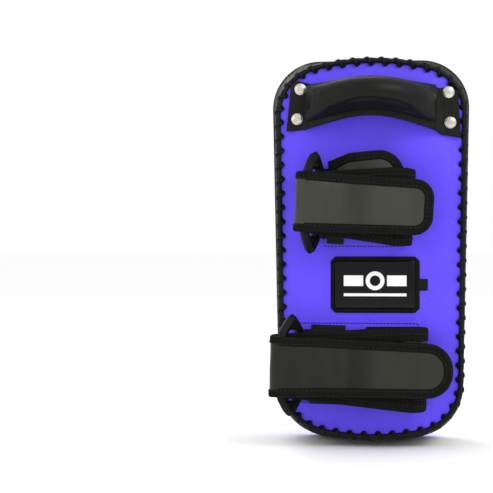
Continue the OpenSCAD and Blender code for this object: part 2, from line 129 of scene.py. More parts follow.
def make(name, shape, material, body, stands_for=(), sharp=None):
    """One mesh piece from points in millimetres and faces.

    body is what it rides on. Given the two bodies and the start and end of a blend between them instead,
    the piece only has its transform baked in and rides on neither.
    sharp is the angle of the edges that stay sharp.
    """
    points, faces = shape
    mesh = bpy.data.meshes.new(name)
    mesh.from_pydata((points * MM).tolist(), [], faces)
    edit = bmesh.new()
    edit.from_mesh(mesh)
    bmesh.ops.remove_doubles(edit, verts=edit.verts, dist=1e-6)
    bmesh.ops.recalc_face_normals(edit, faces=edit.faces)
    edit.to_mesh(mesh)
    edit.free()
    mesh.shade_smooth()
    if sharp:
        mesh.set_sharp_from_angle(angle=math.radians(sharp))
    mesh.materials.append(material)
    piece = add_object(name, mesh)
    if isinstance(body, str):
        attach(piece, body)
    else:
        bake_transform(piece)
    if stands_for:
        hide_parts(*stands_for)


def frames_along(path, up, closed):
    """Unit directions along a path, sideways and towards up."""
    ahead = np.roll(path, -1, 0) - np.roll(path, 1, 0)
    if not closed:
        ahead[0], ahead[-1] = path[1] - path[0], path[-1] - path[-2]
    ahead = unit(ahead)
    up = np.broadcast_to(np.asarray(up, float), path.shape)
    side = unit(np.cross(ahead, up))
    return ahead, side, np.cross(side, ahead)


def round_path(path, side, over, across, out):
    """A grid of points round a path, at distances across and out from each of its points."""
    return path[:, None] + across[..., None] * side[:, None] + out[..., None] * over[:, None]


def sweep(path, section, up, closed=False):
    """Points and faces of a section swept along a path. The section's points are [sideways, up]."""
    _, side, over = frames_along(path, up, closed)
    return tube(round_path(path, side, over, section[None, :, 0], section[None, :, 1]), closed)


def ellipse(width, height, steps=12):
    turn = np.linspace(0, 2 * math.pi, steps, endpoint=False)
    return np.stack([np.cos(turn) * width / 2, np.sin(turn) * height / 2], 1)


def lengths_along(path, closed=False):
    """Distance from the path's start to each point, and for a closed path back to the start too."""
    points = np.vstack([path, path[:1]]) if closed else path
    return np.concatenate([[0], np.cumsum(np.linalg.norm(np.diff(points, axis=0), axis=1))])


def at_lengths(path, wanted, closed=False):
    points = np.vstack([path, path[:1]]) if closed else path
    known = lengths_along(path, closed)
    return np.stack([np.interp(wanted, known, points[:, i]) for i in range(points.shape[1])], 1)


def joined(parts):
    """Several (points, faces) as one."""
    points, faces, start = [], [], 0
    for p, f in parts:
        points.append(p)
        faces += [[start + i for i in face] for face in f]
        start += len(p)
    return np.concatenate(points), faces


# Pitch, length and thickness of each kind of stitch
WALL_STITCH = (4.5, 3.4, 0.75)
GRIP_STITCH = (3.6, 2.7, 0.8)
LABEL_STITCH = (2.8, 2.1, 0.5)
PANEL_STITCH = (3.6, 2.7, 0.9)
RING_STITCH = (4.2, 3.0, 0.55)
KEEPER_STITCH = (3.4, 2.5, 0.6)
EDGE_STITCH = (4.0, 2.6, 0.6)
STRAP_STITCH = (4.2, 3.0, 1.0)
STITCH_SIDES = 6
# Along the stitch, width and rise of each ring of a stitch, as shares of its length and thickness
STITCH_RINGS = ((-0.5, 0.3, -0.5), (-0.36, 0.9, 0.1), (0, 1.0, 0.35), (0.36, 0.9, 0.1), (0.5, 0.3, -0.5))


def stitches(path, up, sizes, closed=False):
    """A row of stitches along a path on a surface whose outward direction is up."""
    pitch, length, thread = sizes
    total = lengths_along(path, closed)[-1]
    count = max(2, round(total / pitch))
    middles = (np.arange(count) + 0.5) * total / count
    spots = at_lengths(path, middles, closed)
    nearest = np.linalg.norm(path[None] - spots[:, None], axis=2).argmin(1)
    outward = unit(up[nearest])
    ahead = unit(at_lengths(path, middles + 0.3, closed) - at_lengths(path, middles - 0.3, closed))
    side = np.cross(ahead, outward)
    turn = np.linspace(0, 2 * math.pi, STITCH_SIDES, endpoint=False)[None] + 0 * spots[:, :1]
    rings = [round_path(spots + ahead * share * length + outward * rise * thread, side, outward,
                        np.cos(turn) * thread / 2 * width, np.sin(turn) * thread / 2 * width)
             for share, width, rise in STITCH_RINGS]
    return joined([tube(stitch) for stitch in np.stack(rings, 1)])


# ---------- Cloth simulation ----------

SWELL_FRAMES = 20
CLOTH = {"quality": 6, "mass": 0.05, "use_pressure": True, "vertex_group_mass": "sewn",
         "tension_stiffness": 12, "compression_stiffness": 12, "bending_stiffness": 0.6}


def swell(points, faces, held, pressure, most):
    """Blows a closed skin up as cloth. held are the sewn points, most is how far one may move in mm."""
    _, first, same = np.unique(points.round(3), axis=0, return_index=True, return_inverse=True)
    same = same.ravel()
    welded = [list(dict.fromkeys(int(same[i]) for i in face)) for face in faces]
    mesh = bpy.data.meshes.new("skin")
    mesh.from_pydata((points[first] * MM).tolist(), [], [face for face in welded if len(face) > 2])
    skin = add_object("skin", mesh)
    skin.vertex_groups.new(name="sewn").add(sorted({int(i) for i in same[held]}), 1, "REPLACE")
    cloth = skin.modifiers.new("cloth", "CLOTH")
    for setting, value in CLOTH.items():
        setattr(cloth.settings, setting, value)
    cloth.settings.uniform_pressure_force = pressure
    cloth.settings.effector_weights.gravity = 0
    cloth.collision_settings.use_collision = False
    cloth.point_cache.frame_start, cloth.point_cache.frame_end = 1, SWELL_FRAMES
    for number in range(SWELL_FRAMES + 1):
        bpy.context.scene.frame_set(number)
    settled = skin.evaluated_get(bpy.context.evaluated_depsgraph_get()).to_mesh()
    moved = np.empty(len(settled.vertices) * 3, np.float32)
    settled.vertices.foreach_get("co", moved)
    bpy.data.objects.remove(skin)
    bpy.data.meshes.remove(mesh)
    shift = moved.reshape(-1, 3)[same] / MM - points
    length = np.linalg.norm(shift, axis=1)[:, None]
    return points + shift * np.minimum(1, most / np.maximum(length, 1e-9)), faces


# ---------- Materials ----------

class Look:
    """A procedural material being built. What is the same all over is set on the shader's socket."""

    def __init__(self, name, **fixed):
        self.material = bpy.data.materials.new(name)
        self.material.use_nodes = True
        self.tree = self.material.node_tree
        self.shader = self.tree.nodes["Principled BSDF"]
        for socket, value in fixed.items():
            self.shader.inputs[socket.replace("_", " ")].default_value = value
        self.place = self.tree.nodes.new("ShaderNodeTexCoord").outputs["Object"]

    def feed(self, socket, value):
        if isinstance(value, bpy.types.NodeSocket):
            self.tree.links.new(value, socket)
        else:
            socket.default_value = value

    def node(self, kind, inputs, **settings):
        made = self.tree.nodes.new(kind)
        for name, value in settings.items():
            setattr(made, name, value)
        for name, value in inputs.items():
            self.feed(made.inputs[name], value)
        return made

    def uneven(self, size, detail, low, high):
        """Noise of about this size in millimetres, mostly between two values."""
        return self.scaled(self.noise(size, detail), 0.3, 0.7, low, high)

    def tones(self, share, colour, dark, light):
        """A colour between a darker and a lighter shade of it."""
        return self.mixed(share, shade(colour, dark), shade(colour, light))

    def grey(self, value):
        return self.node("ShaderNodeCombineColor", {0: value, 1: value, 2: value}).outputs[0]

    def math(self, operation, a, b=0.0):
        return self.node("ShaderNodeMath", {0: a, 1: b}, operation=operation).outputs[0]

    def noise(self, size, detail=3.0, rough=0.5):
        """Noise of about this size in millimetres, from 0 to 1."""
        inputs = {"Vector": self.place, "Scale": 1000 / size, "Detail": detail, "Roughness": rough}
        return self.node("ShaderNodeTexNoise", inputs).outputs[0]

    def bands(self, size):
        """Noise like noise(), drawn out upwards."""
        place = self.node("ShaderNodeMapping", {"Vector": self.place, "Scale": (1, 1, 0.18)}).outputs[0]
        inputs = {"Vector": place, "Scale": 1000 / size, "Detail": 2.0}
        return self.node("ShaderNodeTexNoise", inputs).outputs[0]

    def cells(self, size, feature="F1"):
        inputs = {"Vector": self.place, "Scale": 1000 / size}
        return self.node("ShaderNodeTexVoronoi", inputs, feature=feature).outputs["Distance"]

    def threads(self, size, direction):
        inputs = {"Vector": self.place, "Scale": 1000 / size / 20, "Distortion": 0.6}
        return self.node("ShaderNodeTexWave", inputs, bands_direction=direction).outputs["Fac"]

    def scaled(self, value, low, high, to_low=0.0, to_high=1.0):
        inputs = {"Value": value, "From Min": low, "From Max": high, "To Min": to_low, "To Max": to_high}
        return self.node("ShaderNodeMapRange", inputs).outputs[0]

    def mixed(self, share, a, b):
        node = self.tree.nodes.new("ShaderNodeMix")
        node.data_type = "RGBA"
        self.feed(node.inputs[0], share)
        self.feed(node.inputs[6], a)
        self.feed(node.inputs[7], b)
        return node.outputs[2]

    def finish(self, colour, rough, height, depth):
        """depth is the relief in millimetres."""
        self.feed(self.shader.inputs["Base Color"], colour)
        self.feed(self.shader.inputs["Roughness"], rough)
        bump = self.node("ShaderNodeBump", {"Height": height, "Strength": 0.8, "Distance": depth * MM})
        self.feed(self.shader.inputs["Normal"], bump.outputs[0])
        return self.material


def shade(colour, share):
    return tuple(c * share for c in colour) + (1.0,)


def leather(name, colour, rough, specular, grain=1.3, relief=0.12, print_on=None, fold_shade=0.0):
    """Grained leather, a little uneven in colour and gloss. print_on(look) gives the printed share.

    fold_shade is how strongly upright bands of painted shade show, darkening where the hollows of soft
    folds would be in shade.
    """
    look = Look(name, Specular_IOR_Level=specular)
    base = look.tones(look.uneven(55, 4, 0, 1), colour, 0.86, 1.1)
    if fold_shade:
        # Painted shade: upright bands darkened towards a fifth of the colour, standing in for the shade
        # in the hollows of soft folds.
        base = look.mixed(look.scaled(look.bands(48), 0.38, 0.62, fold_shade, 0), base, shade(colour, 0.2))
    pores = look.cells(grain)
    height = look.math("ADD", pores, look.math("MULTIPLY", look.noise(grain * 5, 5), 1.4))
    gloss = look.uneven(18, 5, rough - 0.05, rough + 0.07)
    if print_on:
        ink = print_on(look)
        worn = look.scaled(look.noise(9, 6, 0.7), 0.2, 0.8, 0.010, 0.022)
        base = look.mixed(ink, base, look.grey(worn))
        gloss = look.math("SUBTRACT", gloss, look.math("MULTIPLY", ink, 0.08))
    return look.finish(base, gloss, height, relief)


def woven(name, colour, rough, specular, thread=0.9, relief=0.18):
    """Woven tape or cloth: two crossing sets of threads."""
    look = Look(name, Specular_IOR_Level=specular)
    weave = look.math("MULTIPLY", look.threads(thread, "X"), look.threads(thread, "Z"))
    weave = look.math("ADD", weave, look.math("MULTIPLY", look.noise(2.5, 4), 0.5))
    colours = look.tones(look.uneven(14, 5, 0, 1), colour, 0.75, 1.3)
    colours = look.mixed(look.scaled(weave, 0, 1.2), colours, shade(colour, 1.5))
    return look.finish(colours, look.uneven(6, 3, rough - 0.06, rough + 0.06), weave, relief)


def metal(name, colour, rough):
    look = Look(name, Metallic=1.0)
    marks = look.noise(1.2, 6, 0.7)
    colours = look.tones(look.scaled(look.noise(7, 4), 0.35, 0.7), colour, 1.05, 0.8)
    return look.finish(colours, look.scaled(marks, 0.3, 0.7, rough - 0.05, rough + 0.1), marks, 0.015)


def foam(name, colour):
    look = Look(name)
    holes = look.cells(1.6)
    colours = look.tones(look.scaled(holes, 0, 0.7), colour, 0.8, 1.05)
    return look.finish(colours, look.uneven(20, 3.0, 0.85, 0.95), holes, 0.5)


# ---------- Prints: generic shapes, in millimetres across the face ----------

def across(look, x, z):
    """Distances sideways and up from a place, as seen on a face in X and Z."""
    split = look.node("ShaderNodeSeparateXYZ", {0: look.place})
    side = look.math("SUBTRACT", look.math("MULTIPLY", split.outputs[0], 1000.0), x)
    up = look.math("SUBTRACT", look.math("MULTIPLY", split.outputs[2], 1000.0), z)
    return side, up


def radius(look, side, up):
    squares = look.math("ADD", look.math("MULTIPLY", side, side), look.math("MULTIPLY", up, up))
    return look.math("SQRT", squares)


EDGE_BLUR = 0.25


def inside(look, value, limit):
    return look.scaled(value, limit + EDGE_BLUR, limit - EDGE_BLUR)


def ring_print(look, r, inner, outer):
    return look.math("SUBTRACT", inside(look, r, outer), inside(look, r, inner))


def bar_print(look, side, up, x, z, width, height):
    far = [look.math("ABSOLUTE", look.math("SUBTRACT", v, c)) for v, c in ((side, x), (up, z))]
    return look.math("MULTIPLY", inside(look, far[0], width / 2), inside(look, far[1], height / 2))


def either(look, shares):
    total = shares[0]
    for share in shares[1:]:
        total = look.math("MAXIMUM", total, share)
    return total


def emblem(look, x, z, width):
    """A plain ring between two bars over a thin stripe."""
    side, up = across(look, x, z)
    bar = 0.31 * width
    return either(look, [
        ring_print(look, radius(look, side, up), 0.085 * width, 0.15 * width),
        bar_print(look, side, up, -(width - bar) / 2, 0, bar, 0.17 * width),
        bar_print(look, side, up, (width - bar) / 2, 0, bar, 0.17 * width),
        bar_print(look, side, up, 0, -0.225 * width, width, 0.045 * width),
    ])


DOTS = 16
# As shares of the stamp's size: inner and outer radius of its dots and its hub, and of its thin ring
STAMP_DOTS = (0.72, 0.84)
STAMP_HUB = (0.2, 0.32)
STAMP_THIN = 0.58


def stamp(look, x, z, size):
    """Thin rings round a circle of dots."""
    side, up = across(look, x, z)
    r = radius(look, side, up)
    turn = look.math("MULTIPLY", look.math("ARCTAN2", up, side), DOTS / (2 * math.pi))
    dot = look.math("ABSOLUTE", look.math("SUBTRACT", look.math("FRACT", turn), 0.5))
    dots = look.math("MULTIPLY", inside(look, look.math("MULTIPLY", dot, 8.0), 1.6),
                     ring_print(look, r, *(size * share for share in STAMP_DOTS)))
    thin = size * STAMP_THIN
    rings = ((size - 1.1, size), (thin, thin + 0.9), [size * share for share in STAMP_HUB])
    return either(look, [ring_print(look, r, *ring) for ring in rings] + [dots])


TARGET_Z = 209
TARGET = (54.7, 71.7)
TARGET_DISC = 31
EMBLEM_Z = 345
EMBLEM_W = 119
STAMP_Z = 60
STAMP_R = 25.5


def strike_print(look):
    side, up = across(look, 0, TARGET_Z)
    r = radius(look, side, up)
    return either(look, [
        ring_print(look, r, *TARGET),
        inside(look, r, TARGET_DISC),
        emblem(look, 0, EMBLEM_Z, EMBLEM_W),
        look.math("MULTIPLY", stamp(look, 0, STAMP_Z, STAMP_R), 0.75),
    ])


PURPLE = (0.100, 0.055, 0.84)
BLACK = (0.0065, 0.0065, 0.0058)
VINYL = (0.034, 0.034, 0.026)
DARK_VINYL = (0.022, 0.022, 0.0165)

STRIKE_LEATHER = leather("strike_leather", PURPLE, 0.42, 0.3, relief=0.10, print_on=strike_print)
BACK_LEATHER = leather("back_leather", PURPLE, 0.44, 0.3)
PATCH_LEATHER = leather("panel_leather", PURPLE, 0.44, 0.3, relief=0.14)
SMOOTH_BLACK = leather("smooth_black_leather", BLACK, 0.42, 0.13, grain=0.9, relief=0.08)
GUSSET = leather("gusset_leather", BLACK, 0.62, 0.1, relief=0.06)
LACE = leather("lace_leather", (0.004, 0.004, 0.004), 0.45, 0.15, grain=0.8, relief=0.1)
FLAP_VINYL = {
    # Both strap vinyls carry upright bands of painted fold shade, stronger on the lower strap.
    "upper": leather("upper_strap_vinyl", VINYL, 0.45, 0.25, grain=0.8, relief=0.06, fold_shade=0.7),
    "lower": leather("lower_strap_vinyl", DARK_VINYL, 0.42, 0.22, grain=0.8, relief=0.06, fold_shade=1.0),
}
SLEEVE = leather("ring_sleeve_leather", (0.005, 0.005, 0.0045), 0.5, 0.12, grain=0.9, relief=0.15)
BINDING = woven("edge_binding", (0.0042, 0.0042, 0.0036), 0.8, 0.08)
LOOP = woven("loop_tape", (0.004, 0.004, 0.004), 0.95, 0.1, thread=0.7, relief=0.4)
TAG = woven("woven_tag", (0.004, 0.004, 0.004), 0.7, 0.15, thread=0.5)
THREAD = woven("black_thread", (0.009, 0.009, 0.0078), 0.6, 0.15, thread=0.5)
NICKEL = metal("nickel", (0.60, 0.565, 0.50), 0.26)
STEEL = metal("ring_steel", (0.50, 0.50, 0.51), 0.35)
SOFT_FOAM = foam("soft_foam", (0.78, 0.74, 0.66))
FIRM_FOAM = foam("firm_foam", (0.60, 0.57, 0.50))


# ---------- Pad body ----------

BACK_Y = node_points("back_cover")[:, 1].min()
PAD_HALF, FRONT_Y, PAD_H = node_points("strike_cover").max(0)
RIM_LOW, RIM_HIGH = limits(node_points("edge_lacing"))
PAD_DEPTH = FRONT_Y - BACK_Y
TAPER = 6  # how much narrower each side is near the bottom
# Half width at the top and at the bottom, low and high end, corner radii, curvature of the ends
STRIKE_OUTLINE = np.array([PAD_HALF, PAD_HALF - TAPER, 0, PAD_H, 50, 54, 1 / 6000])
BACK_OUTLINE = np.array([RIM_HIGH[0], RIM_HIGH[0] - TAPER + 2, RIM_LOW[2], RIM_HIGH[2], 50, 52, 1 / 230])
IS_FOOT = np.array([0, 0, 1, 0, 0, 0, 0])  # of these, only the low end makes the pad's foot
FOOT_DEPTH = 60  # how far in from the back the foot reaches its full size
WIDENING = 1.7  # the wall keeps close to the back's outline at first
ROLL_R = 14
SEAM_DEPTH = PAD_DEPTH - 20
OUTWARD = np.array([0.0, -1.0, 0.0])
ARC_STEPS = 30
FOLD_STEPS = 29
CORNER_STEPS = 17
SIDE_STEPS = 110


def arc(centre, r, start, end, count=ARC_STEPS, whole=False):
    """Points on an arc between two angles in degrees, without its end point unless whole."""
    turn = np.radians(np.linspace(start, end, count, endpoint=whole))
    return np.stack([centre[0] + r * np.cos(turn), centre[1] + r * np.sin(turn)], 1)


def outline(shape, inset=0.0):
    """A rounded outline in X and Z with crowned ends, from the bottom corner round to the left."""
    half_top, half_low, low, high, corner_top, corner_low, curvature = shape
    crown = 1 / curvature

    def corner(half, end, r, up):
        angle = math.degrees(math.asin((half - r) / (crown - r)))
        return half - r, end - up * (crown - (crown - r) * math.cos(math.radians(angle))), angle

    top_x, top_z, top_a = corner(half_top, high, corner_top, 1)
    low_x, low_z, low_a = corner(half_low, low, corner_low, -1)
    dx, dz = top_x - low_x, top_z - low_z
    lean = math.degrees(math.asin((corner_low - corner_top) / math.hypot(dx, dz)) - math.atan2(dx, dz))
    top_r, low_r, end_r = corner_top - inset, corner_low - inset, crown - inset
    side_top = arc((top_x, top_z), top_r, lean, 90 - top_a)
    side_end = arc((low_x, low_z), low_r, lean, 360, 1)
    share = np.linspace(0, 1, SIDE_STEPS, endpoint=False)[:, None]
    return np.concatenate([
        arc((low_x, low_z), low_r, 270 + low_a, 360 + lean),
        mix(side_end, side_top[:1], share),
        side_top,
        arc((0, high - crown), end_r, 90 - top_a, 90 + top_a),
        arc((-top_x, top_z), top_r, 90 + top_a, 180 - lean),
        mix(side_top[:1] * [-1, 1], side_end * [-1, 1], share),
        arc((-low_x, low_z), low_r, 180 - lean, 270 - low_a),
        arc((0, low + crown), end_r, 270 - low_a, 270 + low_a),
    ])


def ring_at(xz, depth):
    """An outline in X and Z as 3-D points at a depth, or depths, in from the back."""
    return np.stack([xz[:, 0], BACK_Y + np.broadcast_to(depth, len(xz)), xz[:, 1]], 1)


def wall_ring(depth, inset=0.0):
    """The pad's outline at a depth in from the back."""
    side = min(depth / SEAM_DEPTH, 1) ** WIDENING
    foot = smooth(depth / FOOT_DEPTH)
    shape = mix(BACK_OUTLINE, STRIKE_OUTLINE, mix(side, foot, IS_FOOT))
    return ring_at(outline(shape, inset), depth)


def medial(xz):
    """The nearest points on the pad's middle line."""
    return np.stack([xz[:, 0] * 0, np.clip(xz[:, 1], PAD_HALF, PAD_H - PAD_HALF)], 1)


def filled(rings, core, steps):
    """Rings that go on from the last ring to its core."""
    return rings + [mix(rings[-1], core, t) for t in np.linspace(0, 1, steps + 1)[1:]]


def filled_flat(rings, low, high, steps):
    """Rings in x and z that go on from the last ring to a middle line along x, from low to high."""
    x = np.clip(rings[-1][:, 0], low, high)
    return filled(rings, np.stack([x, x * 0], 1), steps)


FACE_CROWN = 3.0  # how much further out the middle of the strike face is than its edge
CROWN_WIDTH = 75
ROLL_INSETS = (0, 0.4, 1.2, 2.6, 4.6, 7.2, 10.4, 14, 19, 26, 34)
FACE_STEPS = 22
SEAM_GROOVE = 0.9


def face_rings(inset):
    """Rings over the strike face, moved in by inset: the rolled edge and the crowned face."""
    rings = [outline(STRIKE_OUTLINE, inset + e) for e in ROLL_INSETS]
    rings = filled(rings, medial(rings[-1]), FACE_STEPS)
    edges = list(ROLL_INSETS) + list(np.linspace(ROLL_INSETS[-1], PAD_HALF, FACE_STEPS + 1)[1:])
    rows = []
    for edge, xz in zip(edges, rings):
        roll = ROLL_R - math.sqrt(ROLL_R ** 2 - max(0, ROLL_R - edge) ** 2)
        crown = FACE_CROWN * (1 - smooth(edge / CROWN_WIDTH))
        row = ring_at(xz, PAD_DEPTH - roll - crown - inset)
        row[:, 1] += 0.35 * (ripple(row, 60, 3) - 1) * smooth(edge / 20)
        row[:, 1] = np.minimum(row[:, 1], BACK_Y + PAD_DEPTH - inset)
        rows.append(row)
    return rows


def strike_face():
    """The front leather: side strip, rolled edge and crowned face."""
    skirt = [wall_ring(SEAM_DEPTH + up, SEAM_GROOVE * (1 - up / 5)) for up in (0, 2.5, 5)]
    make("strike_face", loft(skirt + face_rings(0)), STRIKE_LEATHER, "pad", ["strike_cover"])


LEATHER_T = 2
FOAM_T = 18


def face_padding():
    """The soft foam right behind the strike face, which follows its crown."""
    front = face_rings(LEATHER_T + 0.6)
    back = [ring_at(row[:, [0, 2]], PAD_DEPTH - LEATHER_T - FOAM_T) for row in front[::-1]]
    make("face_padding", loft(front + back, True), SOFT_FOAM, "pad", ["face_foam"])


def wall_foam(name, node, material):
    """A block of foam inside the wall, over the depths that its CAD solid has."""
    low, high = (corner[1] - BACK_Y for corner in limits(node_points(node)))
    rings = [wall_ring(depth, LEATHER_T + 1) for depth in np.linspace(low, high, 9)]
    caps = []
    for ring in (rings[0], rings[-1]):
        xz = ring[:, [0, 2]]
        caps.append([ring_at(mix(xz, medial(xz), t), ring[0, 1] - BACK_Y) for t in (0.06, 0.4, 1)])
    make(name, loft(caps[0][::-1] + rings + caps[1]), material, "pad", [node])


def wall_normal(ring):
    """Outward directions of a ring round the pad."""
    _, side, _ = frames_along(ring, OUTWARD, True)
    away = np.sign((side * (ring - ring.mean(0))).sum(1).mean())
    return side * away


WALL_DEPTHS = (1, 2.5, 5, 8, 12, 17, 23, 30, 38, 46, 54, 62, 68, 72, SEAM_DEPTH)


def side_wall():
    """The black leather wall between the lacing and the strike face, with slight creases."""
    rows = []
    for depth in WALL_DEPTHS:
        row = wall_ring(depth)
        crease = 0.5 * ripple(row * [1, 0.25, 1], 14, 7) + 0.5 * ripple(row, 40, 8)
        near_seams = smooth((depth - 1) / 10) * smooth((SEAM_DEPTH - depth) / 10)
        groove = SEAM_GROOVE * (1 - smooth((SEAM_DEPTH - depth) / 5))
        rows.append(row + wall_normal(row) * ((crease - 1) * near_seams * 0.5 - groove)[:, None])
    make("side_wall", loft(rows), GUSSET, "pad", ["side_gusset"])


PIPING_D = 2.4


def seam_welt():
    """Piping in the seam between wall and strike face, with a stitch row on each side of the wall."""
    ring = wall_ring(SEAM_DEPTH - 0.4)
    normal = wall_normal(ring)
    piping = sweep(ring - normal * PIPING_D / 2, ellipse(PIPING_D, PIPING_D, 10), OUTWARD, closed=True)
    make("seam_piping", piping, SMOOTH_BLACK, "pad")
    rows = []
    for depth in (SEAM_DEPTH - 5, 9):
        line = wall_ring(depth)
        rows.append(stitches(line - wall_normal(line) * 0.5, wall_normal(line), WALL_STITCH, closed=True))
    make("wall_stitches", joined(rows), THREAD, "pad")


LACE_D = 3.3
LACE_PITCH = 14.3
HOLE_INSET = 6.6
FOLD = (5.4, 4.6)  # width and height of the folded edge
LACE_STEPS = 26  # points in one turn of the lace
LACE_IN = HOLE_INSET - 2.6  # how far the lace goes in from the middle of the fold
LACE_OUT = 2.4  # and out from it
LACE_LIFT = 2.6  # and above and below it
BACK_DIP = 2.4  # how far in the back leather is at its laced edge
BACK_INSETS = (1.5, 3, 4.5, 6, 7.5, 9.5, 12, 15, 19, 24, 30, 38)
BACK_STEPS = 20


def lace_phase(ring):
    """Turns of the lace round the edge at each point of a ring, counted from its start."""
    known = lengths_along(ring, True)
    count = round(known[-1] / LACE_PITCH)
    return known[:-1] / known[-1] * count, count


def back_face():
    """The back leather, drawn down at its edge by every turn of the lace."""
    rings = [outline(BACK_OUTLINE, e) for e in BACK_INSETS]
    rings = filled(rings, medial(rings[-1]), BACK_STEPS)
    insets = [*BACK_INSETS, *(BACK_INSETS[-1] + 60 * (n + 1) / BACK_STEPS for n in range(BACK_STEPS))]
    phase, _ = lace_phase(outline(BACK_OUTLINE))
    pull = np.maximum(0, np.cos(phase * 2 * math.pi)) ** 2
    rows = []
    for edge, xz in zip(insets, rings):
        row = ring_at(xz, BACK_DIP * (1 - smooth(edge / 26)) + 0.25)
        row[:, 1] += 0.9 * pull * math.exp(-((edge - HOLE_INSET) / 4) ** 2)
        row[:, 1] += 0.35 * (ripple(row, 55, 11) - 1) * smooth((edge - 10) / 20)
        rows.append(row)
    make("back_face", loft(rows), BACK_LEATHER, "pad", ["back_cover"])


def laced_edge():
    """The folded edge round the back and the lace that is whipped over it through the leather."""
    rim = ring_at(outline(BACK_OUTLINE, 2.0), 1.6)
    _, count = lace_phase(rim)
    total = lengths_along(rim, True)[-1]
    spots = np.linspace(0, total, count * 10, endpoint=False)
    line = at_lengths(rim, spots, True)
    _, side, over = frames_along(line, OUTWARD, True)
    fullness = 1 + 0.1 * np.cos(spots / total * count * 2 * math.pi)
    section = ellipse(*FOLD)[None] * fullness[:, None, None]
    fold = round_path(line, side, over, section[..., 0], section[..., 1])
    make("edge_fold", loft(fold, True), SMOOTH_BLACK, "pad", ["edge_lacing"])

    turn = np.linspace(0, count * 2 * math.pi, count * LACE_STEPS, endpoint=False)
    progress = turn / (2 * math.pi) + 0.10 * (np.cos(turn) - 1)  # it crosses the front almost straight
    base = at_lengths(rim, np.mod(progress / count * total, total), True)
    inward = -wall_normal(base)
    reach = np.cos(turn)
    across_edge = reach * np.where(reach > 0, LACE_IN, LACE_OUT)
    lace = base + inward * across_edge[:, None] + OUTWARD * (np.sin(turn) * LACE_LIFT)[:, None]
    make("lace", sweep(lace, ellipse(LACE_D, LACE_D * 0.9, 8), OUTWARD + inward * 0.02, closed=True),
         LACE, "pad")


strike_face()
face_padding()
wall_foam("core_padding", "core_foam", FIRM_FOAM)
wall_foam("back_padding", "back_foam", SOFT_FOAM)
side_wall()
seam_welt()
back_face()
laced_edge()


# ---------- Strips that follow a path out from the back ----------

class Plane:
    """A frame on the back: x along it, d out from the back, z across, turned about Y by lean."""

    def __init__(self, x, z, lean):
        self.x, self.z, self.cos, self.sin = x, z, math.cos(lean), math.sin(lean)

    def world(self, x, d, z):
        return np.stack([self.x + x * self.cos + z * self.sin, BACK_Y - d + 0 * x,
                         self.z - x * self.sin + z * self.cos], -1)

    def local(self, points):
        """X, distance from the back and height in this frame."""
        x, z = points[..., 0] - self.x, points[..., 2] - self.z
        return np.stack([x * self.cos - z * self.sin, BACK_Y - points[..., 1],
                         x * self.sin + z * self.cos], -1)

    def box(self, node):
        return limits(self.local(node_points(node)))


RUN_STEP = 0.7


class Run:
    """The middle of a strip, as a path in x and d. off is measured to the left of its direction."""

    def __init__(self, plane, path, wave=None):
        path = np.asarray(path, float)
        total = lengths_along(path)[-1]
        self.plane = plane
        self.path = at_lengths(path, np.linspace(0, total, max(3, round(total / RUN_STEP))))
        self.known = lengths_along(self.path)
        self.total = self.known[-1]
        ahead = unit(np.gradient(self.path, axis=0))
        self.normals = np.stack([-ahead[:, 1], ahead[:, 0]], 1)
        self.wave = wave or (lambda s, z: 0)

    def at(self, s, z, off):
        """Points at lengths along the run and heights across it, off its middle."""
        s, z, off = np.broadcast_arrays(np.asarray(s, float), z, off)
        off = off + self.wave(s, z)
        x, d = (np.interp(s, self.known, self.path[:, i]) for i in (0, 1))
        normal = unit(np.stack([np.interp(s, self.known, self.normals[:, i]) for i in (0, 1)], -1))
        return self.plane.world(x + off * normal[..., 0], d + off * normal[..., 1], z)

    def length_at(self, x):
        """Length along a path that runs to the right, at x."""
        return np.interp(x, self.path[:, 0], self.known)


def flat_section(low, high, r, steps, angles):
    """Points round a flat strip with rounded edges: their heights, and their side from 1 to -1."""
    flat = np.linspace(0, 1, steps + 1)[None]
    turn = np.radians([angles])
    top, curve = mix(low + r, high - r, flat), r - r * np.cos(turn)
    z = np.hstack([top, high - curve, top[:, ::-1], (low + curve)[:, ::-1]])
    return z, np.hstack([flat * 0 + 1, np.sin(turn), flat * 0 - 1, np.sin(turn)[:, ::-1]])


BAND_STEP = 2.2


def band(run, low, high, thickness, steps=None, across_steps=14, relief=None):
    """A strip along a run with rounded edges, between two heights, each given at both ends of the run."""
    share = np.linspace(0, 1, steps or max(3, round(run.total / BAND_STEP)))[:, None]
    s = run.total * share
    r = thickness / 2
    z, side = flat_section(mix(*low, share), mix(*high, share), r, across_steps, (60, 25, -25, -60))
    off = r * side + 0 * z
    if relief is not None:
        off += relief(s, z) * np.sign(off)
    return tube(run.at(s, z, off))


def strip(run, half, thickness, **options):
    """A band of one width."""
    return band(run, (-half, -half), (half, half), thickness, **options)


def pillow(run, rings, top, bottom, closed):
    """A sheet over nested outlines in x and z, from its edge to its middle line."""
    rings = np.asarray(rings)
    s = run.length_at(rings[..., 0])
    upper, lower = (run.at(s, rings[..., 1], off.reshape(len(rings), -1)) for off in (top, bottom))
    rows, columns = s.shape
    size = rows * columns
    faces = grid_faces(rows, columns, wrap_columns=closed)
    faces += [f[::-1] for f in grid_faces(rows, columns, wrap_columns=closed, start=size)]
    for j in range(columns if closed else columns - 1):
        k = (j + 1) % columns
        faces.append([k, j, j + size, k + size])
    if not closed:
        for i in range(rows - 1):
            for j in (0, columns - 1):
                a, b = i * columns + j, (i + 1) * columns + j
                faces.append([a, b, b + size, a + size])
    return np.concatenate([upper.reshape(-1, 3), lower.reshape(-1, 3)]), faces


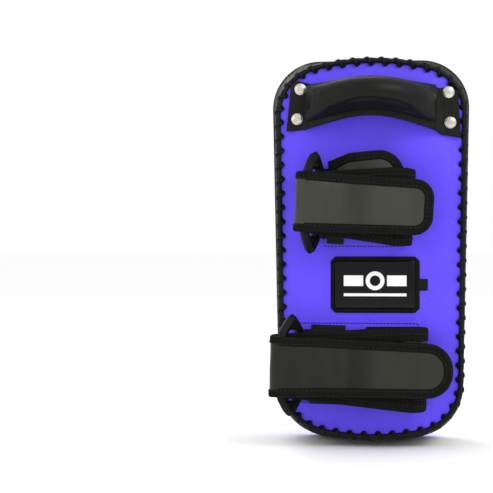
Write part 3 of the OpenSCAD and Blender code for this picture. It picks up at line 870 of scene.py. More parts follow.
def edging(run, outline_at, half, width, closed):
    """Binding folded over an edge, outline_at(inset) in x and z. half is half of its thickness."""
    top = [(width, half * 0.7), (width - 0.15, half * 0.93), (width - 0.8, half),
           (width * 0.5, half * 1.03), (1.2, half), (0.4, half * 0.8), (0, half * 0.4)]
    columns = []
    for inset, off in top + [(inset, -off) for inset, off in top[::-1]]:
        edge = outline_at(inset)
        columns.append(run.at(run.length_at(edge[:, 0]), edge[:, 1], off))
    return tube(np.stack(columns, 1), closed)


def stitched(run, s, z, off, sizes=STRAP_STITCH, closed=False):
    """Stitches through places along a run, on a strip's face at off."""
    path = run.at(s, z, off)
    return stitches(path, np.sign(off) * (run.at(s, z, off + 1) - path), sizes, closed)


def seam(run, edge, off, sizes=STRAP_STITCH, closed=False):
    """Stitches along a line in x and z."""
    return stitched(run, run.length_at(edge[:, 0]), edge[:, 1], off, sizes, closed)


# ---------- Handle ----------

TAB_T = 3
TAB_W = 19


def tab_frame(side):
    """Middle and lean of the tab on one side, from its two rivets."""
    points = node_points("handle_rivets")
    points = points[points[:, 0] * side > 0][:, [0, 2]]
    upper = points[:, 1] > points[:, 1].mean()
    rivets = [sum(limits(points[own])) / 2 for own in (~upper, upper)]
    lean = rivets[1] - rivets[0]
    return (rivets[0] + rivets[1]) / 2, math.atan2(lean[0], lean[1])


TABS = [tab_frame(-1), tab_frame(1)]
HALF_SPAN = (TABS[1][0][0] - TABS[0][0][0]) / 2 + 1.1 - TAB_W / 2
REACH = BACK_Y - node_points("handle_cover")[:, 1].min()
HANDLE_Z = (TABS[0][0][1] + TABS[1][0][1]) / 2 - 0.6
TAB_Z = HANDLE_Z + 1.5
RIVET_Z = 15  # of each rivet, up or down from the tab's middle
HANDLE_RISE = 8.5  # how far up the handle bows at its middle
HANDLE_SLOPE = 2  # how much lower its right end is
GRIP_SHARE = 0.92  # how much of the handle's arc the grip covers
PAD_T = 24
EDGE_R = 0.8  # rounding of the load strap's edges
SAGITTA = REACH - PAD_T - 2 - TAB_T
ARC_R = (HALF_SPAN ** 2 + SAGITTA ** 2) / (2 * SAGITTA)
ARC_A = math.asin(HALF_SPAN / ARC_R)
EDGE = outline(BACK_OUTLINE, 4.2)


def arc_angle(x):
    return np.arcsin(np.clip(x, -HALF_SPAN, HALF_SPAN) / ARC_R)


def arc_share(angle):
    """1 at the middle of the handle's arc and 0 at its ends."""
    return np.clip(np.cos(angle / ARC_A * math.pi / 2), 0, 1)


def handle_middle(angle):
    """Height of the handle's middle line."""
    return HANDLE_Z + HANDLE_RISE * arc_share(angle) ** 2 - HANDLE_SLOPE * (angle / ARC_A + 1) / 2


def handle_half(angle):
    return mix(23.5, 19, arc_share(angle) ** 0.5)


def handle_limits(x):
    """Lower and upper edge of the load strap and its tabs."""
    angle = arc_angle(x)
    out = smooth((np.abs(x) - HALF_SPAN) / TAB_W)
    middle, half = handle_middle(angle), handle_half(angle)
    return middle - half - 3 * out, middle + half + 1.5 * out


def askew(points):
    """Turns and shifts the ends of the handle to where its tabs are riveted on."""
    points = points.copy()
    for side, (middle, lean) in zip((-1, 1), TABS):
        share = smooth((points[..., 0] * side - HALF_SPAN + 6) / 8)
        x = points[..., 0] - side * (HALF_SPAN + TAB_W / 2)
        z = points[..., 2] - TAB_Z
        turned = (middle[0] + x * math.cos(lean) + z * math.sin(lean),
                  middle[1] - x * math.sin(lean) + z * math.cos(lean))
        points[..., 0] = mix(points[..., 0], turned[0], share)
        points[..., 2] = mix(points[..., 2], turned[1], share)
    return points


def pad_half_width(z):
    """Half width of the back inside its lacing, at a height in its upper half."""
    side = EDGE[(EDGE[:, 0] > 0) & (EDGE[:, 1] > PAD_H / 2)]
    side = side[np.argsort(side[:, 1])]
    return np.interp(z, side[:, 1], side[:, 0])


def handle_base():
    """Load strap and tabs: flat on the back at both ends, with folds where it leaves it."""
    bow = np.linspace(-ARC_A, ARC_A, 60)
    middle = np.stack([ARC_R * np.sin(bow), TAB_T / 2 + SAGITTA - ARC_R * (1 - np.cos(bow))], 1)
    ends = np.array([[HALF_SPAN + TAB_W, TAB_T / 2], [HALF_SPAN + 2, TAB_T / 2]])
    run = Run(Plane(0, 0, 0), np.vstack([ends * [-1, 1], middle[2:-2], ends[::-1]]))
    s = np.linspace(0, run.total, 120)[:, None]
    x = np.interp(s, run.known, run.path[:, 0])
    z, side = flat_section(*handle_limits(x), EDGE_R, 24, (50, 0, -50))
    out, up = np.abs(x) - HALF_SPAN, z - TAB_Z
    between = smooth((RIVET_Z - np.abs(up)) / 8)
    ridge = sum(np.exp(-((out - c) / 0.8) ** 2) for c in (5, 9, 13.5)) * 0.5 * between
    rivets = np.minimum(*[np.hypot(out - TAB_W / 2, up - c) for c in (RIVET_Z, -RIVET_Z)])
    dent = 0.5 * np.exp(-(np.maximum(rivets - 5.5, 0) / 2.2) ** 2)
    creases = 0.25 * ripple(np.stack([x + 0 * z, z * 0.4], -1), 9, 21) * smooth((out + 4) / 5)
    off = side * TAB_T / 2 + np.where(side > 0.9, ridge + np.minimum(creases, 0.2) - dent, 0)
    points = askew(run.at(s, z, off))
    reach = pad_half_width(points[..., 2])
    points[..., 0] = np.clip(points[..., 0], -reach, reach)
    points[..., 1] = np.minimum(points[..., 1], BACK_Y)
    make("handle_base", tube(points), SMOOTH_BLACK, "pad", ["handle_strap"], sharp=50)


LIP_T = 1.2
LIP_SEAMS = (-0.94, -0.78)
LIP = 0.70  # the padding starts at this share below the middle line, and the stitched lip ends at 1
ROLL = 1.02  # and the cover wraps round the upper edge


def grip_surface(angle, share, out):
    """Points off the load strap: share of its half height, and how far out at full swell."""
    swell = np.clip(np.cos(angle / ARC_A / GRIP_SHARE * math.pi / 2), 0, 1) ** 0.6
    swollen = LIP_T + (out - LIP_T) * np.maximum(0.05, swell)
    away = TAB_T / 2 + 0.2 + np.where(out > LIP_T, swollen, out)
    return np.stack([
        (ARC_R + away) * np.sin(angle),
        BACK_Y - (TAB_T / 2 + SAGITTA - ARC_R) - (ARC_R + away) * np.cos(angle),
        handle_middle(angle) + share * handle_half(angle),
    ], -1)


def grip_dome(shrink, count=44):
    """Half a rounded section, as shares of the half height and distances out."""
    turn = np.radians(np.linspace(180, 0, count))
    share = (ROLL - LIP) / 2 + (ROLL + LIP) / 2 * shrink * np.cos(turn)
    return share, LIP_T + (PAD_T + 0.6) * shrink * np.sin(turn) ** 0.86


GRIP_ROWS = 110


def swept_grip(share, out, reach=GRIP_SHARE):
    angle = np.linspace(-ARC_A, ARC_A, GRIP_ROWS)[:, None] * reach
    points = grip_surface(angle, share[None], out[None])
    folds = ripple(np.stack(np.broadcast_arrays(ARC_R * angle, 8 * share[None]), -1), 15, 31)
    near_ends = smooth((0.62 - arc_share(angle)) / 0.5)
    soft = 0.35 * ripple(points, 42, 32) + 0.75 * folds * near_ends
    points[..., 1] -= np.minimum(soft - 0.4, 0.15) * np.clip(out / 10, 0, 1)
    return tube(points)


def handle_grip():
    """The padded leather grip: a stitched lip along its lower edge, and a full roll over the top."""
    share, out = grip_dome(1)
    inner_share, inner_out = grip_dome(0.93)
    lip = [-1, -1, -0.985, -0.9, LIP_SEAMS[1]]
    share = np.concatenate([lip, share, [ROLL - 0.01, ROLL - 0.04], inner_share[::-1], [-0.8, -0.98]])
    out = np.concatenate([[0, 0.6, 1.05, LIP_T, 1.15], out, [0.6, 0], inner_out[::-1] - 1.1, [0.05, 0]])
    points, faces = swept_grip(share, out)
    row, column = np.divmod(np.arange(len(points)), len(share))
    on_dome = column - len(lip)
    sewn = (on_dome < 4) | (on_dome > 41) | (row < 2) | (row >= GRIP_ROWS - 2)
    make("handle_grip", swell(points, faces, sewn, 20, 1.5), SMOOTH_BLACK, "pad", ["handle_cover"])
    share, out = grip_dome(0.92, 24)
    make("handle_foam", swept_grip(share, out - 1.0, GRIP_SHARE - 0.05), SOFT_FOAM, "pad",
         ["handle_padding"])

    line = np.linspace(-ARC_A, ARC_A, 80) * GRIP_SHARE * 0.985
    rows = []
    for share in LIP_SEAMS:
        path = grip_surface(line, share, LIP_T + 0 * line)
        away = grip_surface(line, share, LIP_T + 1.2 + 0 * line) - path
        rows.append(stitches(path, away, GRIP_STITCH))
    make("handle_stitches", joined(rows), THREAD, "pad")


# Radius and distance out from the tab, from the middle of the cap to the inner end of the post
RIVET_PROFILE = ((0.001, 2.25), (1.6, 2.2), (3.2, 2.0), (4.3, 1.65), (4.85, 1.35), (5.1, 1.1),
                 (5.35, 1.12), (5.75, 0.85), (5.95, 0.45), (5.9, 0.1), (5.6, 0), (2, 0), (2, -5.2),
                 (0.001, -5.2))


def rivets():
    turn = np.linspace(0, 2 * math.pi, 36, endpoint=False)
    r, d = np.array(RIVET_PROFILE).T[..., None]
    caps = []
    for middle, lean in TABS:
        for up in (-RIVET_Z, RIVET_Z):
            x, z = middle[0] + up * math.sin(lean), middle[1] + up * math.cos(lean)
            caps.append(loft(np.stack([x + r * np.cos(turn), BACK_Y - TAB_T - d + 0 * turn,
                                       z + r * np.sin(turn)], -1)))
    make("rivet_caps", joined(caps), NICKEL, "pad", ["handle_rivets"], sharp=40)


# ---------- Label ----------

LABEL_LOW, LABEL_HIGH = limits(node_points("label_backing"))
LABEL = (LABEL_LOW + LABEL_HIGH) / 2
LABEL_SIZE = LABEL_HIGH - LABEL_LOW
LABEL_T = LABEL_SIZE[1]
LABEL_RIM = 4  # width of its woven border
LABEL_CUT = 4.6  # how much its corners are cut off
LABEL_EMBLEM_W = 62


def divided(corners, counts):
    """A polygon's outline with its sides divided, each into the same number of parts at any inset."""
    sides = zip(corners, np.roll(corners, -1, 0), counts)
    return np.concatenate([mix(a, b, np.arange(n)[:, None] / n) for a, b, n in sides])


def label_outline(inset):
    w, h = LABEL_SIZE[0] / 2 - inset, LABEL_SIZE[2] / 2 - inset
    c = LABEL_CUT - inset * (2 - math.sqrt(2))
    right = [(w, -h + c), (w, h - c), (w - c, h)]
    left = [(-w + c, h), (-w, h - c), (-w, -h + c)]
    return divided(np.array(right + left + [(-w + c, -h), (w - c, -h)]), [16, 2, 28, 2] * 2)


def label_look():
    """Clear resin over black, with the emblem in white."""
    look = Look("label_resin", Coat_Weight=0.12, Coat_Roughness=0.03, Specular_IOR_Level=0.1)
    white = look.mixed(look.noise(3, 3), (0.80, 0.80, 0.80, 1), (0.88, 0.88, 0.88, 1))
    ink = emblem(look, LABEL[0], LABEL[2] + 4, LABEL_EMBLEM_W)
    colours = look.mixed(ink, look.grey(look.uneven(22, 4, 0.002, 0.005)), white)
    return look.finish(colours, look.uneven(9, 4, 0.10, 0.16), look.noise(12, 2), 0.05)


def label():
    run = Run(Plane(LABEL[0], LABEL[2], 0), [(-60, 0), (60, 0)])

    def rings(insets, extra, reach):
        return filled_flat([label_outline(e) for e in insets], -reach, reach, extra)

    backing = rings([0, 0.25, 0.8, 3.0, 4.2], 4, 24)
    top = np.array([0.5, 0.85, 1.05, 1.0] + [0.9] * 5) * LABEL_T
    make("label_backing_cloth", pillow(run, backing, top, top * 0, True), TAG, "pad", ["label_backing"])
    border = edging(run, label_outline, LABEL_T * 1.25, LABEL_RIM - 0.1, True)
    make("label_border", border, BINDING, "pad")
    face = rings([LABEL_RIM + e for e in (0, 0.25, 0.7, 1.4, 2.4)], 10, 16)
    dome = 1.04 + 0.22 * np.sin(np.arange(1, 11) * math.pi / 20)
    floor = LABEL_T * 0.9
    rise = np.array([0.1, 0.5, 0.78, 0.95, 1.04, *dome]) * floor
    make("label_dome", pillow(run, face, floor + rise, floor + 0 * rise, True), label_look(), "pad",
         ["label_face"])
    rows = [seam(run, label_outline(e), LABEL_T * 1.27, LABEL_STITCH, True) for e in (1.4, 2.9)]
    make("label_stitches", joined(rows), THREAD, "pad")
    low, high = limits(node_points("size_tag"))
    path = [(low[0] - 1.5, 0.9), (low[0] + 2, 0.8), (high[0] - 0.4, 0.55)]
    tag = Run(Plane(0, (low[2] + high[2]) / 2, 0), path)
    half = (high[2] - low[2]) / 2
    make("blank_tag", strip(tag, half, 0.8, steps=8), TAG, "pad", ["size_tag"])


handle_base()
handle_grip()
rivets()
label()


# ---------- Straps ----------

STRAP_T = 4
BINDING_T = 0.8
BINDING_W = 9
SEAM_INSET = 2.2  # how far the stitches are from the binding's inner edge
UNDER_FLAP = np.array([1.2, -0.03])  # how far the turn round the ring goes on under the flap
SUNK = 0.6  # how far the stitches under a tongue are drawn into its binding
INNER_RINGS = [BINDING_W + e for e in (-2, -1, 0, 1.5, 3.5, 6)]  # insets of a padded panel in its binding
TONGUE_T = 6
PANEL_T = 1.5
RING_D = 9
RING_SPAN = 34
RING_TIP = 45.5  # how far the ring's ends are from its middle
KEEPER_FLANK = 5  # how much further the keeper's sewn leather reaches up and down than its loop


def ease(a, b, steps=16):
    t = np.linspace(0, 1, steps + 1)[:, None]
    return mix(np.array(a), np.array(b), np.hstack([t, (1 - np.cos(math.pi * t)) / 2]))


def strip_ripple(s, z, size, seed, lean):
    """Waves along a strip, stretched across it by 1 / lean."""
    return ripple(np.stack(np.broadcast_arrays(s, z * lean), -1), size, seed)


def folds(size, amount, seed, lean=0.3):
    """Soft folds across a run, only ever outwards."""
    return lambda s, z: amount * np.maximum(0, 0.5 + 0.5 * strip_ripple(s, z, size, seed, lean))


def creased(size, amount, seed, end=None):
    """Small uneven waves, which die out at both ends of a run as long as end."""
    def relief(s, z):
        fade = smooth(s / 6) * smooth((end - s) / 6) if end else 1
        return amount * strip_ripple(s, z, size, seed, 0.6) * fade
    return relief


def ring_half(z):
    """Half the ring's opening at a height: straight bars behind the strap, drawn together at the ends."""
    return RING_SPAN / 2 * np.sqrt(1 - smooth((np.abs(z) - 22) / (RING_TIP - 22)))


def round_end(side, centre, r, steps):
    """An outline along its lower side, round its end and back. side(corner) leads up to the corner."""
    corner = arc(centre, r, -90, 0, CORNER_STEPS, True)
    lower = np.concatenate([side(corner[:1]), corner])
    end = mix(corner[-1], corner[-1] * [1, -1], np.linspace(0, 1, steps)[1:-1, None])
    return np.concatenate([lower, end, (lower * [1, -1])[::-1]])


class Loop:
    """One forearm loop: ring, keeper, strap, flap and tongue."""

    def __init__(self, name, end_r, end_h, tongue_h, panel_reach, seed):
        self.name, self.seed, self.vinyl = name, seed, FLAP_VINYL[name]
        self.end_r, self.end_half, self.tongue_half = end_r, end_h / 2, tongue_h / 2
        self.panel_reach = panel_reach
        swing, peel, tongue = (JOINTS[f"{name}_{j}"] for j in ("ring_swing", "flap_peel", "tongue_swing"))
        lean = math.atan2(-swing["axis"][0], -swing["axis"][2])
        place = np.array(swing["pos_m"]) / MM
        x = place[0] / math.cos(lean)
        self.plane = Plane(0, place[2] + x * math.sin(lean), lean)
        self.inner_bar = self.plane.local(place)[:2]
        self.outer_bar = self.plane.local(np.array(peel["pos_m"]) / MM)[:2]
        at = np.array(tongue["pos_m"]) / MM
        self.tongue_plane = Plane(at[0], at[2], math.atan2(tongue["axis"][0], tongue["axis"][2]))
        box = self.plane.box
        self.arm_low, self.arm_high = box(f"{name}_strap_arm")
        self.root_high = box(f"{name}_strap_root")[1]
        flap_low, self.flap_high = box(f"{name}_flap_binding")
        self.turn_r = self.outer_bar[1] - self.arm_low[1] - STRAP_T / 2
        self.arm_d = self.outer_bar[1] - self.turn_r
        self.flap_start_d = self.outer_bar[1] + self.turn_r
        self.flap_d = flap_low[1] + STRAP_T / 2 + BINDING_T
        arm = self.plane.local(node_points(f"{name}_strap_arm"))
        self.arm_left_half = arm[arm[:, 0] < self.arm_low[0] + 2, 2].max()
        self.to_ring = ("pad", f"{name}_ring", self.place(self.arm_high[0] - 2, self.arm_d),
                        self.place(self.arm_low[0], self.arm_d))
        self.to_tail = (f"{name}_ring", f"{name}_tail", self.place(self.outer_bar[0], self.arm_d),
                        self.place(self.outer_bar[0], self.flap_start_d))

    def place(self, x, d):
        return tuple(self.plane.world(x, d, 0) * MM)

    def piece(self, name, shape, material, body, stands_for=(), slot=None, fill=None):
        nodes = [f"{self.name}_{node}" for node in stands_for]
        make(f"{self.name}_{name}", shape, material, body, nodes, sharp=60)

    def sew(self, name, rows, body, slot="binding"):
        self.piece(name, joined(rows), THREAD, body, slot=slot)

    def strap(self, name, run, half, body, stands_for, crease, width=15):
        """A stretch of the strap with its bound edges and their stitches. half is at start and end."""
        half = np.array(half)
        inner = half - width
        relief = creased(*crease, run.total)
        middle = band(run, -half + 1, half - 1, STRAP_T, relief=relief)
        self.piece(name, middle, self.vinyl, body, stands_for, "strap_fabric")
        t = STRAP_T + 2 * BINDING_T
        edges = [band(run, *edge, t, across_steps=6) for edge in ((inner, half), (-half, -inner))]
        self.piece(f"{name}_binding", joined(edges), BINDING, body, slot="binding")
        share = np.linspace(0, 1, max(4, round((run.total - 2) / 2)))
        s = mix(1, run.total - 1, share)
        lines = (SEAM_INSET,) if width == BINDING_W else (SEAM_INSET, width - 7)
        rows = [stitched(run, s, mix(*(side * (inner + line)), share), t / 2 * face)
                for side in (-1, 1) for face in (-1, 1) for line in lines]
        self.sew(f"{name}_stitches", rows, body)

    def sewn_panel(self):
        """A purple leather patch under the loop, sewn to the back with black thread."""
        low, high = limits(node_points(f"{self.name}_panel"))
        high[2] = min(high[2], self.plane.z + self.panel_reach)
        middle, size = (low + high) / 2, (high - low) / 2
        run = Run(Plane(middle[0], middle[2], 0), [(-80, 0), (80, 0)])

        def edge(inset):
            r = 5 - inset * 0.5
            w, h = size[0] - inset - r, size[2] - inset - r
            corners = [arc((sx * w, sz * h), r, a, a + 90, 6)
                       for sx, sz, a in ((1, -1, -90), (1, 1, 0), (-1, 1, 90), (-1, -1, 180))]
            return divided(np.concatenate(corners), [1, 1, 1, 1, 1, 24] * 4)

        reach = max(size[0] - size[2], 0) + 6
        rings = filled_flat([edge(e) for e in (0, 0.3, 0.8, 1.8, 2.6, 3.4, 4.6, 7)], -reach, reach, 6)
        top = np.array([0.4, 0.75, 0.95, 0.88, 0.7, 0.88] + [1] * 8) * PANEL_T
        panel = pillow(run, rings, top, top * 0 + 0.05, True)
        self.piece("sewn_panel", panel, PATCH_LEATHER, "pad", ["panel"], "purple_leather")
        row = seam(run, edge(2.6), PANEL_T * 0.72, PANEL_STITCH, True)
        self.sew("panel_stitches", [row], "pad", "purple_leather")

    def ring(self):
        """A steel ring in a leather sleeve, which is gathered into ridges along it."""
        body = f"{self.name}_ring"
        ahead = unit(self.outer_bar - self.inner_bar)
        heights = RING_TIP * np.sin(np.radians(np.arange(-89, 90, 2)))
        flat = np.stack([ring_half(heights), heights], 1)
        flat = np.concatenate([flat, -flat])
        flat = at_lengths(flat, np.linspace(0, lengths_along(flat, True)[-1], 230, endpoint=False), True)
        along = (flat[:, 0] + RING_SPAN / 2)[:, None] * ahead + self.inner_bar
        path = self.plane.world(along[:, 0], along[:, 1], flat[:, 1])
        facing = unit(self.plane.world(*(self.inner_bar + [-ahead[1], ahead[0]]), 0)
                      - self.plane.world(*self.inner_bar, 0))
        known = lengths_along(path, True)[:-1, None]
        angle = np.linspace(0, 2 * math.pi, 30, endpoint=False)[None]
        _, side, over = frames_along(path, facing, True)
        ridge = 0.5 + 0.5 * np.cos(5 * angle + 0.9 * np.sin(known / 46 + self.seed))
        places = np.broadcast_arrays(known, 6 * np.cos(angle), 6 * np.sin(angle))
        pinch = 0.12 * ripple(np.stack(places, -1), 9, self.seed)
        gathered = smooth((np.abs(flat[:, 1:]) - 24) / 20)
        r = RING_D / 2 * (0.86 + 0.13 * ridge) * (1 + 0.12 * gathered) + np.minimum(pinch, 0.05)
        cover = loft(round_path(path, side, over, r * np.cos(angle), r * np.sin(angle)), True)
        self.piece("ring_cover", cover, SLEEVE, body, ["ring_sleeve"], "ring_sleeve")
        self.ring_gather(ahead, body)
        core = sweep(path, ellipse(RING_D - 4, RING_D - 4, 10), facing, closed=True)
        self.piece("ring_bar", core, STEEL, body, ["ring_core"], "ring_steel")
        line = path + unit(over - side * 0.3) * RING_D / 2 * 0.86
        self.sew("ring_stitches", [stitches(line, over, RING_STITCH, True)], body, "ring_sleeve")

    def ring_gather(self, ahead, body):
        """The surplus of the sleeve, drawn together inside each end of the ring into upright folds."""
        inner = self.arm_left_half + 0.8
        z = np.linspace(inner, RING_TIP - 1, 16)[:, None]
        across = np.linspace(-1, 1, 33)[None]
        flat = across * ring_half(z) + RING_SPAN / 2
        pleat = 1.5 + 1.1 * np.cos(across * 11 + z * 0.12 + self.seed)
        thick = (0.6 + pleat * smooth((z - inner) / 3)) * smooth((1 - np.abs(across)) * 6 + 0.2)
        flat, thick = np.hstack([flat, flat[:, ::-1]]), np.hstack([thick, -thick[:, ::-1]])
        bar = self.inner_bar + flat[..., None] * ahead + thick[..., None] * [-ahead[1], ahead[0]]
        shapes = [tube(self.plane.world(bar[..., 0], bar[..., 1], up * z + 0 * flat)) for up in (-1, 1)]
        self.piece("ring_gather", joined(shapes), SLEEVE, body, slot="ring_sleeve")

    def keeper(self):
        """The leather loop that holds the ring's inner bar, box-stitched to the back."""
        _, high = self.plane.box(f"{self.name}_keeper")
        right, half, t = high[0] - 0.2, high[2] - 0.4, 1.5
        r = RING_D / 2 + 0.35 + t / 2
        x, d = self.inner_bar
        base = PANEL_T + t / 2
        path = np.vstack([[(right, base)], [(x + 12, base)], arc((x, d), r, -62, -298, 31, True),
                          [(x + 10, base + t * 1.15)], [(right, base + t)]])
        run = Run(self.plane, path[path[:, 1] >= base - 0.01])
        loop = strip(run, half, t, relief=creased(16, 0.12, self.seed + 5))
        flank = Run(self.plane, [(x + 9, base + 0.15), (right, base + 0.15)])
        foot = strip(flank, half + KEEPER_FLANK, t)
        self.piece("keeper_loop", joined([loop, foot]), SMOOTH_BLACK, "pad", ["keeper"], "black_leather")
        left, right, up = x + 9, right - 2, half - 2.5
        flat = Run(self.plane, [(x, base + t * 1.05), (right + 2, base + t * 1.05)])
        edge = divided(np.array([(left, -up), (right, -up), (right, up), (left, up)]), [12, 24] * 2)
        box = seam(flat, edge, t * 0.42, KEEPER_STITCH, True)
        self.sew("keeper_stitches", [box], "pad", "black_leather")

    def strap_run(self):
        """Root, fold, arm and the turn round the ring: one strap, cut where it crosses the joints."""
        root_d = PANEL_T + STRAP_T / 2
        fold_r = (self.arm_d - root_d) / 2
        fold = (self.root_high[0] - STRAP_T / 2 - fold_r, root_d + fold_r)
        half, ring_end = self.arm_high[2], self.arm_left_half - 2.5
        start = self.plane.box(f"{self.name}_strap_root")[0][0]
        root = Run(self.plane, np.vstack([[(start, root_d)], arc(fold, fold_r, -90, 90, FOLD_STEPS, True),
                                          [(self.arm_high[0], self.arm_d)]]))
        arm = Run(self.plane, [(self.arm_high[0], self.arm_d), (self.outer_bar[0], self.arm_d)])
        bend = arc(self.outer_bar, self.turn_r, 270, 90, FOLD_STEPS, True)
        turn = Run(self.plane, np.vstack([bend, bend[-1] + UNDER_FLAP]))
        self.strap("strap_fold", root, (half - 3, half), "pad", ["strap_root"], (20, 0.25, self.seed + 1))
        self.strap("strap_back", arm, (half, ring_end), self.to_ring, ["strap_arm"],
                   (30, 0.3, self.seed + 2))
        self.strap("strap_bend", turn, (ring_end, self.flap_high[2]), self.to_tail, ["strap_turn"],
                   (16, 0.2, self.seed + 3), BINDING_W)

    def flap_edge(self, inset):
        """The flap's open outline: along the bottom, round its end and back along the top."""
        left, right = self.outer_bar[0], self.flap_high[0] - inset
        half, end_half = self.flap_high[2] - inset, self.end_half - inset
        r = min(self.end_r - inset, end_half)
        share = np.linspace(0, 1, 60, endpoint=False)[:, None]
        return round_end(lambda corner: mix(np.array([left, -half]), corner, share),
                         (right - r, -end_half + r), r, 8)

    def flap(self):
        """The closing flap: padded vinyl with folded binding, hook tape under its middle."""
        tail = f"{self.name}_tail"
        start = (self.outer_bar[0], self.flap_start_d)
        path = np.vstack([ease(start, (start[0] + 48, self.flap_d)),
                          [(self.flap_high[0] + 6, self.flap_d)]])
        wave = folds(38, 1.7, self.seed + 4, 0.22)
        run = Run(self.plane, path, lambda s, z: wave(s, z) * smooth(s / 25))
        reach = self.flap_high[0] - 30
        rings = filled_flat([self.flap_edge(e) for e in INNER_RINGS], -math.inf, reach, 8)
        half_t = STRAP_T / 2
        rise = np.array([0.75, 0.85, 0.95, 1.1, 1.2, 1.26] + [1.3] * 8)[:, None]
        rise = mix(1, rise, smooth((np.array(rings)[..., 0] - self.outer_bar[0]) / 14)) * half_t
        points, faces = pillow(run, rings, rise, -half_t + 0 * rise, False)
        columns = len(rings[0])
        row, column = np.divmod(np.arange(len(points)), columns)
        sewn = (row < 2) | (row >= len(rings)) | (column < 2) | (column >= columns - 2)
        self.piece("flap_panel", swell(points, faces, sewn, 30, 1.2), self.vinyl, tail, ["flap"],
                   "strap_vinyl", fill=0.8)
        binding = edging(run, self.flap_edge, half_t + BINDING_T, BINDING_W, False)
        self.piece("flap_edging", binding, BINDING, tail, ["flap_binding"], "binding")
        edge = self.flap_edge(BINDING_W - SEAM_INSET)
        rows = [seam(run, edge, side * (half_t + BINDING_T)) for side in (1, -1)]
        rows.append(seam(run, self.flap_edge(1.5), half_t + BINDING_T, EDGE_STITCH))
        self.sew("flap_stitches", rows, tail)
        self.patch("hook_tape", "hook_patch", tail)

    def patch(self, name, node, body):
        """A piece of hook or loop tape where its CAD node is."""
        low, high = self.plane.box(f"{self.name}_{node}")
        run = Run(self.plane, [(low[0] + 0.2, low[1] + 0.5), (high[0] - 0.2, low[1] + 0.5)])
        tape = strip(run, high[2] - 0.2, 0.96, relief=creased(3, 0.03, self.seed + 6))
        self.piece(name, tape, LOOP, body, [node], "hook_and_loop")

    def tongue_edge(self, inset):
        """The tongue's closed outline: along the bottom, round its end, back and down its sewn edge."""
        right, half, r = self.tongue_right - inset, self.tongue_half - inset, 24 - inset
        steep = 6 * (1 - inset / 40)
        side = np.array([[inset, -half + steep], [22, -half]])
        loop = round_end(lambda corner: divided(np.vstack([side, corner]), [10, 20, 1])[:-1],
                         (right - r, -half + r), r, 12)
        return np.concatenate([loop, mix(loop[-1], loop[0], np.linspace(0, 1, 24)[1:-1, None])])

    def tongue(self):
        """The padded tongue under the strap: two faces over foam with a bound edge."""
        body = f"{self.name}_tongue"
        low, high = self.tongue_plane.box(f"{self.name}_tongue_binding")
        self.tongue_right = high[0]
        half_t = TONGUE_T / 2 + BINDING_T
        path = np.vstack([ease((0, low[1] + half_t), (36, high[1] - half_t)),
                          [(self.tongue_right + 6, high[1] - half_t)]])
        run = Run(self.tongue_plane, path, folds(34, 0.5, self.seed + 7, 0.8))
        rings = filled_flat([self.tongue_edge(e) for e in INNER_RINGS], 24, self.tongue_right - 26, 9)
        rise = np.array([0.75, 0.85, 0.98, 1.15, 1.28, 1.36, *(1.4 + 0.06 * np.arange(1, 10) / 9)])
        rise = rise * TONGUE_T / 2
        points, faces = pillow(run, rings, rise, -0.93 * rise, True)
        under, place = np.divmod(np.arange(len(points)), len(points) // 2)
        sewn = (under == 1) | (place < 2 * len(rings[0]))
        self.piece("tongue_pad", swell(points, faces, sewn, 30, 1.6), self.vinyl, body, ["tongue_cover"],
                   "strap_vinyl", fill=0.85)
        binding = edging(run, self.tongue_edge, half_t, BINDING_W, True)
        self.piece("tongue_edging", binding, BINDING, body, ["tongue_binding"], "binding")
        edge = self.tongue_edge(BINDING_W - SEAM_INSET)
        rows = [seam(run, edge, off, closed=True) for off in (half_t, SUNK - half_t)]
        self.sew("tongue_stitches", rows, body)

    def build(self):
        self.sewn_panel()
        self.ring()
        self.keeper()
        self.strap_run()
        self.patch("loop_tape", "loop_patch", self.to_ring)
        self.flap()
        self.tongue()


Loop("upper", end_r=18, end_h=54, tongue_h=68, panel_reach=34, seed=100).build()
Loop("lower", end_r=25, end_h=53, tongue_h=70, panel_reach=60, seed=200).build()


# ---------- Parts inside, which keep their CAD shape ----------

for node, material in (
    ("rivet_washers", NICKEL), ("upper_tongue_foam", SOFT_FOAM), ("lower_tongue_foam", SOFT_FOAM),
):
    for slot in frame["nodes"][node].material_slots:
        slot.material = material


# ---------- Floor, light and camera ----------

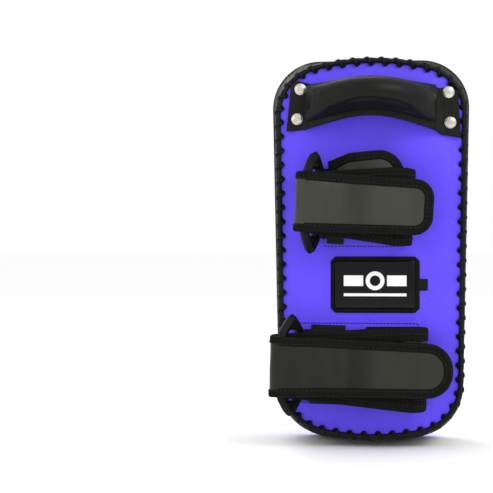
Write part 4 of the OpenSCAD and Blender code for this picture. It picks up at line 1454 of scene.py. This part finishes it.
def plain_material(name, colour, rough):
    look = Look(name)
    tone = look.mixed(look.noise(300), shade(colour, 0.99), shade(colour, 1.0))
    return look.finish(tone, rough, look.noise(4), 0.01)


def stage():
    mesh = bpy.data.meshes.new("floor")
    turn = np.linspace(0, 2 * math.pi, 64, endpoint=False)
    mesh.from_pydata([(40 * math.cos(a), 40 * math.sin(a), 0) for a in turn], [], [list(range(64))])
    mesh.materials.append(plain_material("floor", (0.98, 0.98, 0.98), 0.9))
    add_object("floor", mesh)


def area_light(name, place, aim, size, power):
    light = bpy.data.lights.new(name, "AREA")
    light.shape = "RECTANGLE"
    light.size, light.size_y = size
    light.energy = power
    lamp = add_object(name, light)
    lamp.location = place
    lamp.rotation_euler = (Vector(aim) - Vector(place)).to_track_quat("-Z", "Y").to_euler()


def lighting():
    world = bpy.data.worlds.new("studio")
    world.use_nodes = True
    world.node_tree.nodes["Background"].inputs["Color"].default_value = (1, 1, 1, 1)
    world.node_tree.nodes["Background"].inputs["Strength"].default_value = 1.0
    bpy.context.scene.world = world
    middle = (0, 0, PAD_H * MM / 2)
    area_light("key", (0.9, -1.1, 1.3), middle, (0.7, 0.7), 13)
    area_light("fill", (-1.3, -1.0, 0.6), middle, (0.9, 0.9), 3)
    area_light("back_key", (-0.6, 1.2, 1.2), middle, (0.9, 0.9), 8)
    bpy.context.scene.view_settings.view_transform = "Standard"


CAMERA_X = -10
CAMERA_DISTANCE = 1250
CAMERA_Z = 200
PIXELS = 493
PAD_PIXELS_RIGHT = 124.5  # how far right of the picture's middle the pad stands, at 1 mm to a pixel


def camera():
    data = bpy.data.cameras.new("camera")
    data.sensor_width = 36
    data.lens = 36 * CAMERA_DISTANCE / PIXELS
    eye = add_object("camera", data)
    eye.location = (CAMERA_X * MM, (BACK_Y - CAMERA_DISTANCE) * MM, CAMERA_Z * MM)
    turn = math.atan(PAD_PIXELS_RIGHT / CAMERA_DISTANCE) + math.atan(CAMERA_X / CAMERA_DISTANCE)
    eye.rotation_euler = (math.radians(90), 0, turn)
    bpy.context.scene.camera = eye


stage()
lighting()
camera()
